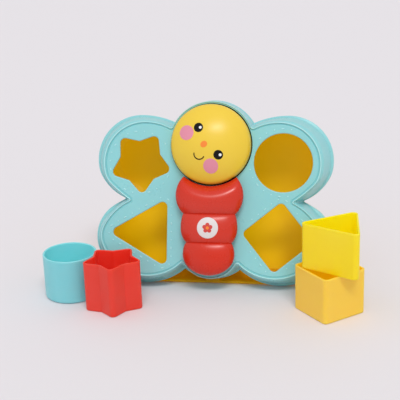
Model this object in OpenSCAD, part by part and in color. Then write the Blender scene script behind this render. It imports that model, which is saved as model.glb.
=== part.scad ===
// Butterfly shape sorter: a two-part hollow butterfly that stands leaning back,
// a spinning round face, a segmented body and four loose hollow blocks.
// Row frame: +Z up, the face looks towards -Y, the origin is the centre of the
// standing foot on the floor. The toy itself is drawn lying flat (X across the
// wings, Y from tail to head, Z out of the front, Z = 0 on the parting plane)
// and then stood up by stand().

/* [Stance] */
// Angle by which the toy leans back from upright, in degrees
lean = 19; // [17:1:21]
// Distance from the parting plane's floor line back to the middle of the foot
foot_back = 19; // [17:0.5:21]
// Half width of the standing foot
foot_half_w = 34; // [28:1:38]

/* [Butterfly outline] */
// Radius of the lobe behind the head, at the parting plane
head_lobe_r = 46.5; // [46:0.1:47.5]
// Height of that lobe's centre up the plate
head_lobe_y = 139.8; // [139:0.1:141]
// Topmost point of an upper wing, from the middle and up the plate
upper_top = [75, 171.2];
// Radii round an upper wing: inner top, outer top, outer side, underside
upper_radii = [85, 45.3, 29, 50.3];
// Lowest point of a lower wing, on the floor line
lower_foot = [68.7, 0];
// Radii round a lower wing: inner bottom, outer bottom, outer side, upper side
lower_radii = [61.8, 53.1, 37.2, 140];
// Radius of the tail lobe
tail_r = 45.4; // [44:0.1:47]
// Height of the tail lobe's centre
tail_y = 50.9; // [50:0.1:52]
// Fillet in the notches between the lobes
notch_r = 1; // [0.8:0.1:1.5]

/* [Front outline, at the border bead] */
// Radius of the rim round the head
rim_head_r = 42.4; // [42.2:0.1:43]
// Topmost point of an upper wing's bead
rim_upper_top = [66.9, 162.7];
// Radii of the bead round an upper wing
rim_upper_radii = [54.8, 41.1, 18.9, 120];
// Lowest point of a lower wing's bead
rim_lower_foot = [63.9, 9];
// Radii of the bead round a lower wing
rim_lower_radii = [50.9, 47.8, 22.6, 57.6];
// Radius of the rim round the tail end of the body
rim_tail_r = 29.4; // [29:0.1:30]
// Height of that rim's centre
rim_tail_y = 37.2; // [37:0.1:38]

/* [Front shell] */
// Height of the front border above the parting plane
shell_h = 26.4; // [24:0.2:28]
// How far the front face sits below its border bead
face_drop = 0.4; // [0.3:0.1:0.8]
// Wall thickness of the front face
face_t = 1.9; // [1.6:0.1:2.2]
// Radius of the well round the head
well_r = 41.2; // [41:0.1:41.4]

/* [Sorting holes] */
// Radius of the round hole
hole_circle_r = 29; // [28:0.2:29.5]
// Half side of the square hole
hole_square_half = 25.3; // [24.8:0.1:26]
// Side of the triangular hole before rounding
hole_tri_side = 69; // [68:0.5:70]
// Tip radius of the star hole before rounding
hole_star_r = 33; // [32.5:0.1:33.5]
// Inner radius of the star hole
hole_star_in = 21.3; // [20.8:0.1:21.8]
// Corner radius of the holes
hole_corner_r = 5; // [4:0.5:5.5]

/* [Tray] */
// Depth of the tray behind the parting plane
tray_d = 36; // [34:0.5:38]
// Wall thickness of the tray
tray_t = 2; // [1.8:0.1:2.4]

/* [Head] */
// Radius of the round face
head_r = 39.7; // [39:0.1:40]
// Height of the head's centre up the plate
head_y = 140.6; // [140:0.1:141]
// Height of the dome's widest line above the parting plane
head_waist = 31; // [30:0.5:32]
// Height of the dome's crown above the parting plane
head_top = 51; // [49:0.5:53]
// Resting turn of the face about its own axle, in degrees
face_turn = -53; // [-180:1:180]
// Number of clicks in one turn
clicks = 12; // [12:12:12]

/* [Body] */
// Half width of the widest body segment
body_w = 33.6; // [33:0.2:34]
// Height of the body's crown above the parting plane
body_top = 46; // [44:0.5:47]

/* [Blocks] */
// Height of the round, square and triangular blocks
block_h = 44.8; // [43:0.2:46]
// Height of the star block
star_h = 49.5; // [48:0.5:50]
// Wall thickness of the blocks
block_t = 1.8; // [1.6:0.1:2.4]
// Radius of the round block
block_circle_r = 26.65; // [26:0.05:28]
// Side of the square block
block_square = 48.5; // [47:0.1:49.5]
// Side of the triangular block before rounding
block_tri = 65.5; // [63:0.5:67]
// Slack between the star block and its hole
star_slack = 1.2; // [0.8:0.1:1.6]

/* [Hidden] */

face_z = shell_h - face_drop;          // front of the flat face
back_z = face_z - face_t;              // back of the flat face
head_centre = [0, head_y];

// Hinge
hinge_y = 175;                         // axis, up the plate
hinge_z = -5;                          // axis, behind the parting plane
knuckle_r = 4;
pin_r = 1.5;
pin_length = 41.6;
pin_hole_length = 50;

// Screws and the parts behind the face; places are from the head's centre
body_screw_r = 1.3;
body_screw_y = [88, 32.7];
mech_screw_r = 1.1;
MECH_SCREWS = [for (angle = [90, 210, 330]) 25 * dir(angle)];
spring_screw = [17.6, -19];
hub_r = 8;
cover_z = 12.4;                        // back of the mechanism cover
cover_t = 1.6;
spring_z = back_z - 2.9;               // back of the click spring
spring_foot_t = 1.7;
washer_z = 19.7;                       // back of the head's washer
washer_t = 0.9;

// ---- helpers -------------------------------------------------------------

function dir(angle) = [cos(angle), sin(angle)];
function angle_of(v) = atan2(v[1], v[0]);
function reversed(list) = [for (k = [len(list) - 1 : -1 : 0]) list[k]];
function wrap(angle) = angle - 360 * floor((angle + 180) / 360);
function lift(points, z) = [for (p = points) [p[0], p[1], z]];

module stand() { translate([0, -foot_back, 0]) rotate([90 - lean, 0, 0]) children(); }
module at(place, z = 0) { translate([place[0], place[1], z]) children(); }
module on_head(z = 0) { translate([0, head_y, z]) children(); }

module drill(place, z, radius, depth) {
    at(place, z) cylinder(r = radius, h = depth, $fn = 24);
}

// Round bar along the hinge axis, centred on x
module hinge_bar(x, length, radius, facets) {
    translate([x - length / 2, hinge_y, hinge_z]) rotate([0, 90, 0])
        cylinder(r = radius, h = length, $fn = facets);
}

// Pan-head screw, its head below z = 0 and its shank above
module screw(length, radius = body_screw_r, head = 2.8) {
    rotate_extrude($fn = 32) polygon([
        [0, -1.8], [head - 0.8, -1.8], [head, -1], [head, 0], [radius, 0],
        [radius, length - 1.2], [0.3, length], [0, length]]);
}

// Closed skin over rings with equal numbers of points; loop joins the last
// ring to the first, otherwise both ends are capped
module skin(rings, loop = false) {
    size = len(rings[0]);
    count = len(rings);
    polyhedron(
        points = [for (ring = rings) each ring],
        faces = concat(
            [for (i = [0 : loop ? count - 1 : count - 2], k = [0 : size - 1])
                let (here = i * size, there = (i + 1) % count * size, next = (k + 1) % size)
                each [[here + k, here + next, there + next],
                      [here + k, there + next, there + k]]],
            loop ? [] : [[for (k = [size - 1 : -1 : 0]) k],
                         [for (k = [0 : size - 1]) (count - 1) * size + k]]),
        convexity = 8);
}

// ---- butterfly outline -----------------------------------------------------

crest = 11.7;                          // border step at the bead; it is 0 at the parting line

// Centre that is r1 from c1 and r2 from c2, on the left of the way from c1 to c2
function meet(c1, r1, c2, r2) =
    let (span = norm(c2 - c1),
         along = (r1 * r1 - r2 * r2 + span * span) / (2 * span),
         aside = sqrt(r1 * r1 - along * along),
         way = (c2 - c1) / span)
    c1 + along * way + aside * [-way[1], way[0]];

// Arcs of the +X half, from the crown down to the tail:
// [centre, radius, +1 bulge or -1 notch, first angle, last angle, steps].
// The ends of each wing's outer side arc are given as two angles.
function arcs(head, head_r, top, upper, upper_ends, foot, lower, lower_ends,
              tail, tail_r, fillet) =
    let (up0 = top - [0, upper[0]],
         up1 = top - [0, upper[1]],
         up2 = up1 + (upper[1] - upper[2]) * dir(upper_ends[0]),
         up3 = up2 + (upper[2] - upper[3]) * dir(upper_ends[1]),
         low0 = foot + [0, lower[0]],
         low1 = foot + [0, lower[1]],
         low2 = low1 + (lower[1] - lower[2]) * dir(lower_ends[0]),
         low3 = low2 + (lower[2] - lower[3]) * dir(lower_ends[1]),
         neck = meet(head, head_r + fillet, up0, upper[0] + fillet),
         side = meet(up3, upper[3] + fillet, low3, lower[3] + fillet),
         hip = meet(low0, lower[0] + fillet, tail, tail_r + fillet))
    [[head, head_r, 1, 90, angle_of(neck - head), 8],
     [neck, fillet, -1, angle_of(head - neck), angle_of(up0 - neck), 3],
     [up0, upper[0], 1, angle_of(neck - up0), 90, 5],
     [up1, upper[1], 1, 90, upper_ends[0], 13],
     [up2, upper[2], 1, upper_ends[0], upper_ends[1], 3],
     [up3, upper[3], 1, upper_ends[1], angle_of(side - up3), 7],
     [side, fillet, -1, angle_of(up3 - side), angle_of(low3 - side), 4],
     [low3, lower[3], 1, angle_of(side - low3), lower_ends[1], 5],
     [low2, lower[2], 1, lower_ends[1], lower_ends[0], 9],
     [low1, lower[1], 1, lower_ends[0], -90, 8],
     [low0, lower[0], 1, -90, angle_of(hip - low0), 6],
     [hip, fillet, -1, angle_of(low0 - hip), angle_of(tail - hip), 4],
     [tail, tail_r, 1, angle_of(hip - tail), -90, 8]];

// Angle swept by an arc; notches turn counter-clockwise
function sweep(arc) =
    let (turn = wrap(arc[4] - arc[3]))
    arc[2] < 0 && turn < 0 ? turn + 360 : turn;

// Points along arcs with the direction that points out of the toy: [x, y, direction]
function walk(arcs) =
    [for (arc = arcs, k = [0 : arc[5] - 1])
        let (angle = arc[3] + sweep(arc) * k / arc[5],
             p = arc[0] + arc[1] * dir(angle))
        [p[0], p[1], arc[2] > 0 ? angle : angle + 180],
     let (arc = arcs[len(arcs) - 1], p = arc[0] + arc[1] * dir(-90))
        [p[0], p[1], -90]];

BASE_WALK = walk(arcs(
    [0, head_lobe_y], head_lobe_r, upper_top, upper_radii, [-10.5, -27],
    lower_foot, lower_radii, [-23, 57.7], [0, tail_y], tail_r, notch_r));
RIM_WALK = walk(arcs(
    head_centre, rim_head_r, rim_upper_top, rim_upper_radii, [-17.7, -44.4],
    rim_lower_foot, rim_lower_radii, [-20.7, 27.4], [0, rim_tail_y], rim_tail_r, 2.4));

// Outline at a step of the border, from 0 to crest, moved inward
function half_outline(step, inward) =
    let (share = step / crest)
    [for (i = [0 : len(BASE_WALK) - 1])
        let (base = BASE_WALK[i], rim = RIM_WALK[i],
             out = dir(base[2] + wrap(rim[2] - base[2]) * share))
        [for (k = [0, 1]) base[k] + (rim[k] - base[k]) * share - inward * out[k]]];
function outline(step, inward = 0) =
    let (half = half_outline(step, inward))
    concat(half, [for (k = [len(half) - 2 : -1 : 1]) [-half[k][0], half[k][1]]]);

// ---- hole and block shapes ---------------------------------------------------

corner_steps = 6;

// Rounded corner at tip, between the points before and after it
function corner(before, tip, after, radius) =
    let (back = (before - tip) / norm(before - tip),
         ahead = (after - tip) / norm(after - tip),
         half = acos(back * ahead) / 2,
         centre = tip + (back + ahead) / norm(back + ahead) * radius / sin(half),
         first = angle_of(tip + back * radius / tan(half) - centre),
         last = angle_of(tip + ahead * radius / tan(half) - centre))
    [for (k = [0 : corner_steps])
        centre + radius * dir(first + wrap(last - first) * k / corner_steps)];

// Polygon with rounded corners, taking the radii in turn
function rounded(points, radii) =
    let (count = len(points))
    [for (i = [0 : count - 1])
        each corner(points[(i + count - 1) % count], points[i],
                    points[(i + 1) % count], radii[i % len(radii)])];

// Polygon moved inward by a distance, corner by corner
function inset(points, distance) =
    let (count = len(points))
    [for (i = [0 : count - 1])
        let (tip = points[i],
             into = tip - points[(i + count - 1) % count],
             onward = points[(i + 1) % count] - tip,
             normal1 = [-into[1], into[0]] / norm(into),
             normal2 = [-onward[1], onward[0]] / norm(onward))
        tip + (normal1 + normal2) * distance / (1 + normal1 * normal2)];

function regular(sides, radius, turn) =
    [for (k = [0 : sides - 1]) radius * dir(turn + 360 * k / sides)];
function tri_shape(side, radius) = rounded(regular(3, side / sqrt(3), 180), [radius]);
function square_shape(half, radius, turn) =
    rounded(regular(4, half * sqrt(2), turn), [radius]);
// Star hole, moved inward by slack
function star_shape(slack) =
    let (points = [for (k = [0 : 9])
        (k % 2 == 0 ? hole_star_r : hole_star_in) * dir(-86.1 + 36 * k)])
    rounded(inset(points, slack), [hole_corner_r - slack * 0.5, 2.5]);

// ---- front shell -----------------------------------------------------------

star_place = [-71.4, 122.1];
circle_place = [71.4, 123.2];
tri_place = [-63.4, 52];
square_place = [66.9, 49.5];
well_z = 21;                           // bottom of the head's well
well_in = 36.4;                        // inner radius of the well
ear_x = 17.5;                          // middle of a hinge ear
ear_w = 7;

// Up the outside, over the bead and down the inside: [border step, inward, z]
SHELL_RINGS = [
    [0, 0, 0],
    [0, 0, 2.4],
    [2.6, 0, 3.2],
    [7.8, 0, shell_h - 4.6],
    [9.4, 0, shell_h - 1.2],
    [11.2, 0, shell_h],
    [crest, 1.5, shell_h],
    [crest, 2.3, back_z + 0.5],
    [9.4, 1.6, back_z + 0.1],
    [7.8, 1.8, back_z - 2],
    [2, 2.4, 0]];

module sorting_holes() {
    z = back_z - 2;
    depth = 8;
    at(circle_place, z) cylinder(r = hole_circle_r, h = depth, $fn = 96);
    at(star_place, z) linear_extrude(depth) polygon(star_shape(0));
    at(tri_place, z) linear_extrude(depth) polygon(tri_shape(hole_tri_side, hole_corner_r));
    at(square_place, z) linear_extrude(depth)
        polygon(square_shape(hole_square_half, hole_corner_r, 84));
}

// Screw boss on the back of the face, placed from the head's centre
module boss(place, radius, z) {
    at(head_centre + place, z) cylinder(r = radius, h = back_z + 0.5 - z, $fn = 40);
}

module front_shell() {
    color("paleturquoise") stand() difference() {
        union() {
            skin([for (row = SHELL_RINGS) lift(outline(row[0], row[1]), row[2])], loop = true);
            at([0, 0], back_z) linear_extrude(face_t) polygon(outline(crest, 1.1));
            // walls and floor of the well that the skirt of the head runs in
            on_head(well_z - 1.6) difference() {
                cylinder(r = well_r + 1.4, h = back_z - well_z + 2.2, $fn = 128);
                translate([0, 0, -1]) cylinder(r = well_in - 1.5, h = 12, $fn = 128);
            }
            // thrust collar under the head
            on_head(back_z) cylinder(r = 13, h = face_t + 1.2, $fn = 64);
            for (place = MECH_SCREWS) boss(place, 3.2, cover_z + cover_t);
            boss(spring_screw, 3.4, spring_z + spring_foot_t);
            // hinge ears on the parting plane
            for (side = [-1, 1]) {
                translate([side * ear_x - ear_w / 2, hinge_y - ear_w / 2, hinge_z])
                    cube([ear_w, ear_w, 6.5]);
                hinge_bar(side * ear_x, ear_w, knuckle_r, 48);
            }
        }
        sorting_holes();
        // ring-shaped channel of the well
        on_head(well_z) difference() {
            cylinder(r = well_r, h = 12, $fn = 128);
            translate([0, 0, -1]) cylinder(r = well_in, h = 14, $fn = 128);
        }
        // bearing of the hub
        on_head(back_z - 2) cylinder(r = hub_r + 0.06, h = 8, $fn = 64);
        for (place = MECH_SCREWS) drill(head_centre + place, 13, mech_screw_r, 9);
        drill(head_centre + spring_screw, 21, mech_screw_r, 4);
        for (y = body_screw_y) drill([0, y], back_z - 1, 1.6, 6);
        hinge_bar(0, pin_hole_length, pin_r, 32);
    }
}

module hinge_pin() { color("silver") stand() hinge_bar(0, pin_length, pin_r, 32); }

// ---- tray ------------------------------------------------------------------

tray_floor = 0.8;                      // height of the underside above the floor
tray_inner = tray_floor + tray_t;
tray_edge = 2.4 + tray_t;              // floor height at the edge of the back panel
recess_half_w = 38;                    // half width of the hinge recess
arm_y = 166.4;                         // lower end of the knuckle's arm
arm_half_w = 12.6;
foot_depth = 27;

// Parting outline moved inward: the hinge recess is cut straight across behind
// the head, and the bottom runs straight between the lower wings at height floor_z
function tray_outline(inward, z, floor_z, recess_y) =
    let (low = (floor_z - z * sin(lean)) / cos(lean))
    [for (p = outline(0, inward))
        [p[0],
         abs(p[0]) < recess_half_w && p[1] > recess_y ? recess_y
         : p[1] < 45 && abs(p[0]) < lower_foot[0] - 8 ? low
         : max(p[1], low)]];

// Up the outside and back down the inside: [inward, z, floor height, recess y]
TRAY_RINGS = [
    [16, -tray_d, tray_edge, 152.8],
    [13, -tray_d, tray_floor, 156],
    [7.4, -tray_d + 3.2, tray_floor, 162],
    [4.4, -tray_d + 9, tray_floor, 165.2],
    [2.6, -3.2, tray_floor, 168],
    [0, -2.4, tray_floor, 168],
    [0, -0.2, tray_floor, 168],
    [4.8, -0.2, tray_inner, 165.2],
    [6.4, -tray_d + 10, tray_inner, 163],
    [9.2, -tray_d + 4.6, tray_inner, 160],
    [14.4, -tray_d + tray_t, tray_inner, 154.5],
    [16, -tray_d + tray_t, tray_edge, 152.8]];

module tray() {
    color("orange") stand() difference() {
        union() {
            skin([for (row = TRAY_RINGS) lift(tray_outline(row[0], row[1], row[2], row[3]), row[1])],
                 loop = true);
            // back panel, a touch thinner than its border on both faces
            at([0, 0], -tray_d + 0.2) linear_extrude(tray_t - 0.4)
                polygon(tray_outline(15.2, -tray_d + 1, 1.6 + tray_t, 153.6));
            // hinge knuckle and its arm
            hinge_bar(0, 27.2, knuckle_r, 48);
            translate([-arm_half_w, arm_y, hinge_z - 3.4])
                cube([2 * arm_half_w, hinge_y - 1 - arm_y, 6.6]);
            // snap tab at the tail
            translate([-7, 2.4, -8]) cube([14, 11, 7.6]);
            translate([-6, 11.6, -4]) cube([12, 1.6, 9.6]);
            // foot, flat on the floor
            rotate([lean - 90, 0, 0]) translate([-foot_half_w, foot_back - foot_depth / 2, 0])
                cube([2 * foot_half_w, foot_depth, 2.4]);
        }
        hinge_bar(0, pin_hole_length, pin_r + 0.05, 32);
    }
}

// ---- body cover --------------------------------------------------------------

body_t = 2.2;
body_waist = 35;                       // widest line of the body above the parting plane
scoop_r = well_r + 0.15;               // the body ends in a hollow round the head's well
valley_z = body_top - 4.2;             // crown between the bulges
post_gaps = [0.8, 1.8];                // top of each screw post below body_top
badge_place = [0, 58.6];
badge_z = body_top - 1.2;

// Bulges from tail to head. Pairs are for the lower and the upper end:
// [ends, middle, half width, width share at ends, width curve, crown, crown at ends]
BULGES = [
    [[11.3, 43.6], 32.2, body_w * 0.764, [0.12, 0.877], [0.985, 0.8],
     body_top - 1, [body_waist + 3, valley_z]],
    [[43.6, 72], 58.2, body_w * 0.838, [0.804, 0.917], [0.8, 0.8],
     body_top, [valley_z, valley_z]],
    [[72, 113], 90.5, body_w, [0.771, 0.62], [0.8, 0.8],
     body_top + 0.6, [valley_z, body_top - 8]]];

// Falls from 1 at s = 0 to edge at s = 1; the nearer curve is to 1, the steeper the end
function bulb(s, edge, curve) =
    1 - (1 - edge) * (1 - sqrt(1 - pow(curve * s, 2))) / (1 - sqrt(1 - curve * curve));

// Station at share, from 0 to 1, along a bulge: [height up the plate, half width, crown]
function station(bulge, share) =
    let (ends = bulge[0], middle = bulge[1], crown = bulge[5],
         y = ends[0] + (ends[1] - ends[0]) * (1 - cos(180 * share)) / 2,
         end = y < middle ? 0 : 1,
         s = (middle - y) / (middle - ends[end]),
         low = bulge[6][end])
    [y, bulge[2] * bulb(s, bulge[3][end], bulge[4][end]),
     low + (crown - low) * bulb(s, 0, 0.985)];
STATIONS = [for (i = [0 : 2], k = [(i == 0 ? 0 : 1) : 8]) station(BULGES[i], k / 8)];

// Cross-section from the +X foot over the crown to the -X foot, thinned by a wall
function section(row, wall) =
    let (half = max(row[1] - wall, 0.8),
         rise = max(row[2] - wall - body_waist, 0.6),
         drop = face_z - (wall > 0 ? 1 : 0) - body_waist,
         y = row[0])
    concat(
        [for (k = [1, 0.5]) [half * sqrt(1 - pow(0.48 * k, 2)), y, body_waist + drop * k]],
        [for (a = [0 : 15 : 180]) [half * cos(a), y, body_waist + rise * sin(a)]],
        [for (k = [0.5, 1]) [-half * sqrt(1 - pow(0.48 * k, 2)), y, body_waist + drop * k]]);

// Solid through the cross-sections; a thinned one starts a wall above the lower end
module body_loft(wall) {
    skin([for (row = STATIONS) if (row[0] >= STATIONS[0][0] + wall) section(row, wall)]);
}

module body_cover() {
    color("tomato") stand() difference() {
        union() {
            difference() {
                body_loft(0);
                on_head(face_z - 3) cylinder(r = scoop_r, h = 40, $fn = 128);
                // hollow, stopping short of the scoop
                difference() {
                    body_loft(body_t);
                    on_head(face_z - 5) cylinder(r = scoop_r + 2, h = 44, $fn = 128);
                }
            }
            // screw posts
            for (k = [0, 1]) at([0, body_screw_y[k]], face_z)
                cylinder(r = 3.6, h = body_top - post_gaps[k] - face_z, $fn = 32);
        }
        for (y = body_screw_y) drill([0, y], face_z - 1, body_screw_r, 11);
        at(badge_place, badge_z) cylinder(r = 10.5, h = 5, $fn = 64);
    }
}

module badge_label() {
    color("white") stand() at(badge_place, badge_z) rotate_extrude($fn = 64)
        polygon([[0, 0], [10.4, 0], [10.4, 0.5], [10.1, 0.85], [0, 1.15]]);
}

module body_screws() { color("silver") stand() for (y = body_screw_y) at([0, y], back_z) screw(10); }

// ---- head ---------------------------------------------------------------------

edge_r = 9;                            // rounding of the dome's edge
edge_x = head_r - edge_r;              // centre of that rounding, from the axis
dome_h = head_top - head_waist;
crown_r = (edge_x * edge_x + dome_h * dome_h - edge_r * edge_r) / (2 * (dome_h - edge_r));
crown_z = head_top - crown_r;          // centre of the crown arc
split = atan2(head_waist - crown_z, edge_x); // angle where crown arc meets edge arc
dome_t = 2;
skirt_z = 22.6;                        // lower edge of the dome's skirt
skirt_in = head_r - 2.4;
ledge_r = head_r - 4.8;                // inner radius of the ledge round the base
base_z = face_z + 1.4;                 // underside of the head's base
hub_z = washer_z + washer_t;

// Dome profile grown outward, from the axis to the rim
function dome_profile(grow) = concat(
    [for (k = [0 : 9]) [0, crown_z] + (crown_r + grow) * dir(90 + (split - 90) * k / 10)],
    [for (k = [0 : 8]) [edge_x, head_waist] + (edge_r + grow) * dir(split * (1 - k / 8))]);

module head_dome() {
    color("gold") stand() on_head() rotate_extrude($fn = 128) polygon(concat(
        dome_profile(0),
        [[head_r, skirt_z + 0.6], [head_r - 0.6, skirt_z], [skirt_in, skirt_z],
         [skirt_in, base_z + 0.4], [ledge_r, base_z + 0.4],
         [ledge_r, base_z + 2.6], [head_r - dome_t, base_z + 2.6]],
        reversed(dome_profile(-dome_t))));
}

module head_base() {
    color("gold") stand() on_head() difference() {
        union() {
            translate([0, 0, base_z]) cylinder(r = ledge_r - 0.1, h = 2, $fn = 96);
            translate([0, 0, hub_z]) cylinder(r = hub_r, h = base_z + 0.6 - hub_z, $fn = 64);
        }
        translate([0, 0, 19]) cylinder(r = body_screw_r, h = 9, $fn = 32);
    }
}

// Detent ring with rounded teeth, round the hub
ring_steps = 96;
function ring_r(angle) = 13.3 - 1.2 * cos(clicks * angle);

module click_ring() {
    color("white") stand() on_head(back_z - 3) difference() {
        linear_extrude(2.6) polygon([for (k = [0 : ring_steps - 1])
            let (angle = 360 / ring_steps * k) ring_r(angle) * dir(angle)]);
        translate([0, 0, -1]) cylinder(r = hub_r, h = 5, $fn = 64);
    }
}

// Leaf spring whose nub rests in a valley of the ring
module click_spring() {
    leaf_h = 2.2;
    color("whitesmoke") stand() on_head(spring_z) difference() {
        union() {
            translate([15.1, -15.9, 0]) cube([0.9, 19.9, leaf_h]);
            translate([14.9, 0, 0]) cylinder(r = 1.1, h = leaf_h, $fn = 24);
            translate([spring_screw[0] - 2.6, -21.4, 0]) cube([5.4, 5.8, spring_foot_t]);
        }
        drill(spring_screw, -1, 1.3, 5);
    }
}

module head_washer() {
    color("silver") stand() on_head(washer_z) difference() {
        cylinder(r = 10.5, h = washer_t, $fn = 64);
        translate([0, 0, -1]) cylinder(r = 1.7, h = 3, $fn = 32);
    }
}

module head_screw() { color("silver") stand() on_head(washer_z) screw(7.6); }

module mechanism_cover() {
    color("whitesmoke") stand() on_head() difference() {
        translate([0, 0, cover_z]) cylinder(r = 32, h = back_z - 0.1 - cover_z, $fn = 96);
        translate([0, 0, cover_z + cover_t]) cylinder(r = 30.2, h = 12, $fn = 96);
        for (place = MECH_SCREWS) drill(place, 11, 1.4, 5);
    }
}

module mechanism_screws() {
    color("silver") stand() {
        for (place = MECH_SCREWS) at(head_centre + place, cover_z) screw(8, mech_screw_r, 2.6);
        at(head_centre + spring_screw, spring_z) screw(3.6, mech_screw_r, 2.6);
    }
}

// ---- printed face ----------------------------------------------------------------

ink_t = 0.25;
highlight_t = 0.2;                     // on top of the eyes' ink
eye = [16.5, 1.5];
cheek = [20.4, -10.9];
mouth_y = -11.4;

// Ink layer between two heights over the dome, cut to the 2D shape given as child
module ink(bottom = 0, top = ink_t) {
    on_head() rotate([0, 0, face_turn]) intersection() {
        rotate_extrude($fn = 128)
            polygon(concat(dome_profile(top), reversed(dome_profile(bottom))));
        translate([0, 0, head_waist + 4]) linear_extrude(30) children();
    }
}

module eye_prints() {
    color("black") stand() for (side = [-1, 1])
        ink() translate([side * eye[0], eye[1]]) circle(r = 4.6, $fn = 48);
}
module eye_highlights() {
    color("white") stand() for (side = [-1, 1])
        ink(ink_t, ink_t + highlight_t)
            translate([side * eye[0] + 1.1, eye[1] + 1.5]) circle(r = 1.4, $fn = 32);
}
module cheek_prints() {
    color("hotpink") stand() for (side = [-1, 1])
        ink() translate([side * cheek[0], cheek[1]]) circle(r = 7.25, $fn = 48);
}
module nose_print() {
    color("darkorange") stand() ink() translate([0, -3.5])
        polygon([for (k = [0 : 35]) [3 * cos(10 * k), 3.5 * sin(10 * k)]]);
}
// Lower arc of an ellipse with the given half axes
function smile(half_w, half_h) =
    [for (k = [0 : 16]) let (a = 195 + 150 * k / 16) [half_w * cos(a), mouth_y + half_h * sin(a)]];
module mouth_print() {
    color("saddlebrown") stand() ink()
        polygon(concat(smile(5.4, 5.0), reversed(smile(4.3, 3.9))));
}

// ---- blocks -------------------------------------------------------------------------

block_corner_r = 4.5;
inner_corner_r = block_corner_r - block_t;

// Places a block on the floor, y measured from the toy's floor line
module block_at(x, y, z = 0) { translate([x, y - foot_back, z]) children(); }

// Straight cup over an outline, open at the top
module cup(outer, inner, height) {
    difference() {
        linear_extrude(height) polygon(outer);
        translate([0, 0, block_t]) linear_extrude(height) polygon(inner);
    }
}

// Quarter round at the foot of a wall, from its lowest point to its outermost
function foot_round(wall_r, floor_z, radius) =
    [for (k = [0 : 5]) [wall_r - radius, floor_z + radius] + radius * dir(-90 + 18 * k)];

module circle_block() {
    inner_r = block_circle_r - block_t;
    color("mediumturquoise") block_at(-137.9, -32.6) rotate_extrude($fn = 96) polygon(concat(
        [[0, 0]],
        foot_round(block_circle_r, 0, 3),
        [[block_circle_r, block_h], [inner_r, block_h]],
        reversed(foot_round(inner_r, block_t, 1.8)),
        [[0, block_t]]));
}
module star_block() {
    color("tomato") block_at(-89, -56.7) rotate([0, 0, 5.3])
        cup(star_shape(star_slack), star_shape(star_slack + block_t), star_h);
}
module square_block() {
    half = block_square / 2;
    color("khaki") block_at(118.9, -51.5)
        cup(square_shape(half, block_corner_r, 85),
            square_shape(half - block_t, inner_corner_r, 85), block_h);
}
// Stands on top of the square block
module triangle_block() {
    color("yellow") block_at(126.5, -53.8, block_h) rotate([0, 0, 1.9])
        cup(tri_shape(block_tri, block_corner_r),
            tri_shape(block_tri - block_t * 2 * sqrt(3), inner_corner_r), block_h);
}

// ---- nodes ---------------------------------------------------------------------------

front_shell();
hinge_pin();
tray();
body_cover();
body_screws();
badge_label();
head_dome();
head_base();
click_ring();
click_spring();
head_washer();
head_screw();
mechanism_cover();
mechanism_screws();
eye_prints();
eye_highlights();
cheek_prints();
nose_print();
mouth_print();
circle_block();
star_block();
triangle_block();
square_block();
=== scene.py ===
# Butterfly shape sorter: a turquoise butterfly plate with four shaped holes leans back on an
# amber tray, with a red body, a turning yellow head and four hollow blocks on the floor.
# The world is in metres, +Z up, and the toy faces -Y. The toy's own pieces are worked out in
# the plate's frame, in millimetres: x across the wings, y from tail to head, z out of the
# front. stand() leans them back into the world.
import math
from collections import namedtuple

import bpy
import numpy as np
from mathutils import Matrix, Vector
from mathutils.geometry import delaunay_2d_cdt


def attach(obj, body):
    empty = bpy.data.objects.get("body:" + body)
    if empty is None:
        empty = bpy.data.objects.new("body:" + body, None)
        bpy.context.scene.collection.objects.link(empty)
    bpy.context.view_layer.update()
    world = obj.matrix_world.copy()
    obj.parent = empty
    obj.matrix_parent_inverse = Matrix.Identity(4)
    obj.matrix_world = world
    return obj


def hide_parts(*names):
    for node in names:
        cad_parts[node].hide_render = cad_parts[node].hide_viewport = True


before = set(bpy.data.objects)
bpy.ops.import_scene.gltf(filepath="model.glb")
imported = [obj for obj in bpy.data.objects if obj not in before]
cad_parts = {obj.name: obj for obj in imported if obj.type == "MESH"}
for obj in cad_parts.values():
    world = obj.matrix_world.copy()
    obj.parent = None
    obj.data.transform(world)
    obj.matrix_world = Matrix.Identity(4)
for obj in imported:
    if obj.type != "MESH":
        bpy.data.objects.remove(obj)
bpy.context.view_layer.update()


LEAN = math.radians(19.0)
SIN_LEAN, COS_LEAN = math.sin(LEAN), math.cos(LEAN)
FOOT_BACK = 19.0


def stand(points):
    """Plate frame in mm to world in metres."""
    x, y, z = points[..., 0], points[..., 1], points[..., 2]
    world_y = y * SIN_LEAN - z * COS_LEAN - FOOT_BACK
    return np.stack([x, world_y, y * COS_LEAN + z * SIN_LEAN], -1) * 0.001


def lay_back(points):
    """World directions, still in mm, back to the plate frame."""
    x, y, z = points[:, 0], points[:, 1] + FOOT_BACK, points[:, 2]
    return np.column_stack([x, y * SIN_LEAN + z * COS_LEAN, z * SIN_LEAN - y * COS_LEAN])


# ------------------------------------------------------------------ flat geometry

def direction(angle):
    angle = math.radians(angle)
    return np.array([math.cos(angle), math.sin(angle)])


def heading(vector):
    return math.degrees(math.atan2(vector[1], vector[0]))


def wrap(angle):
    """Angle brought between -180 and 180 degrees."""
    return angle - 360.0 * math.floor((angle + 180.0) / 360.0)


def unit(vector):
    return vector / np.linalg.norm(vector)


def rotate(points, turn):
    points = np.asarray(points, float)
    cos, sin = math.cos(math.radians(turn)), math.sin(math.radians(turn))
    x, y = points[..., 0], points[..., 1]
    return np.stack([x * cos - y * sin, x * sin + y * cos], -1)


def circle(count, sense=1):
    """Unit circle; counter-clockwise with sense 1, clockwise with -1."""
    angles = sense * np.arange(count) * 2 * math.pi / count
    return np.stack([np.cos(angles), np.sin(angles)], -1)


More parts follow.
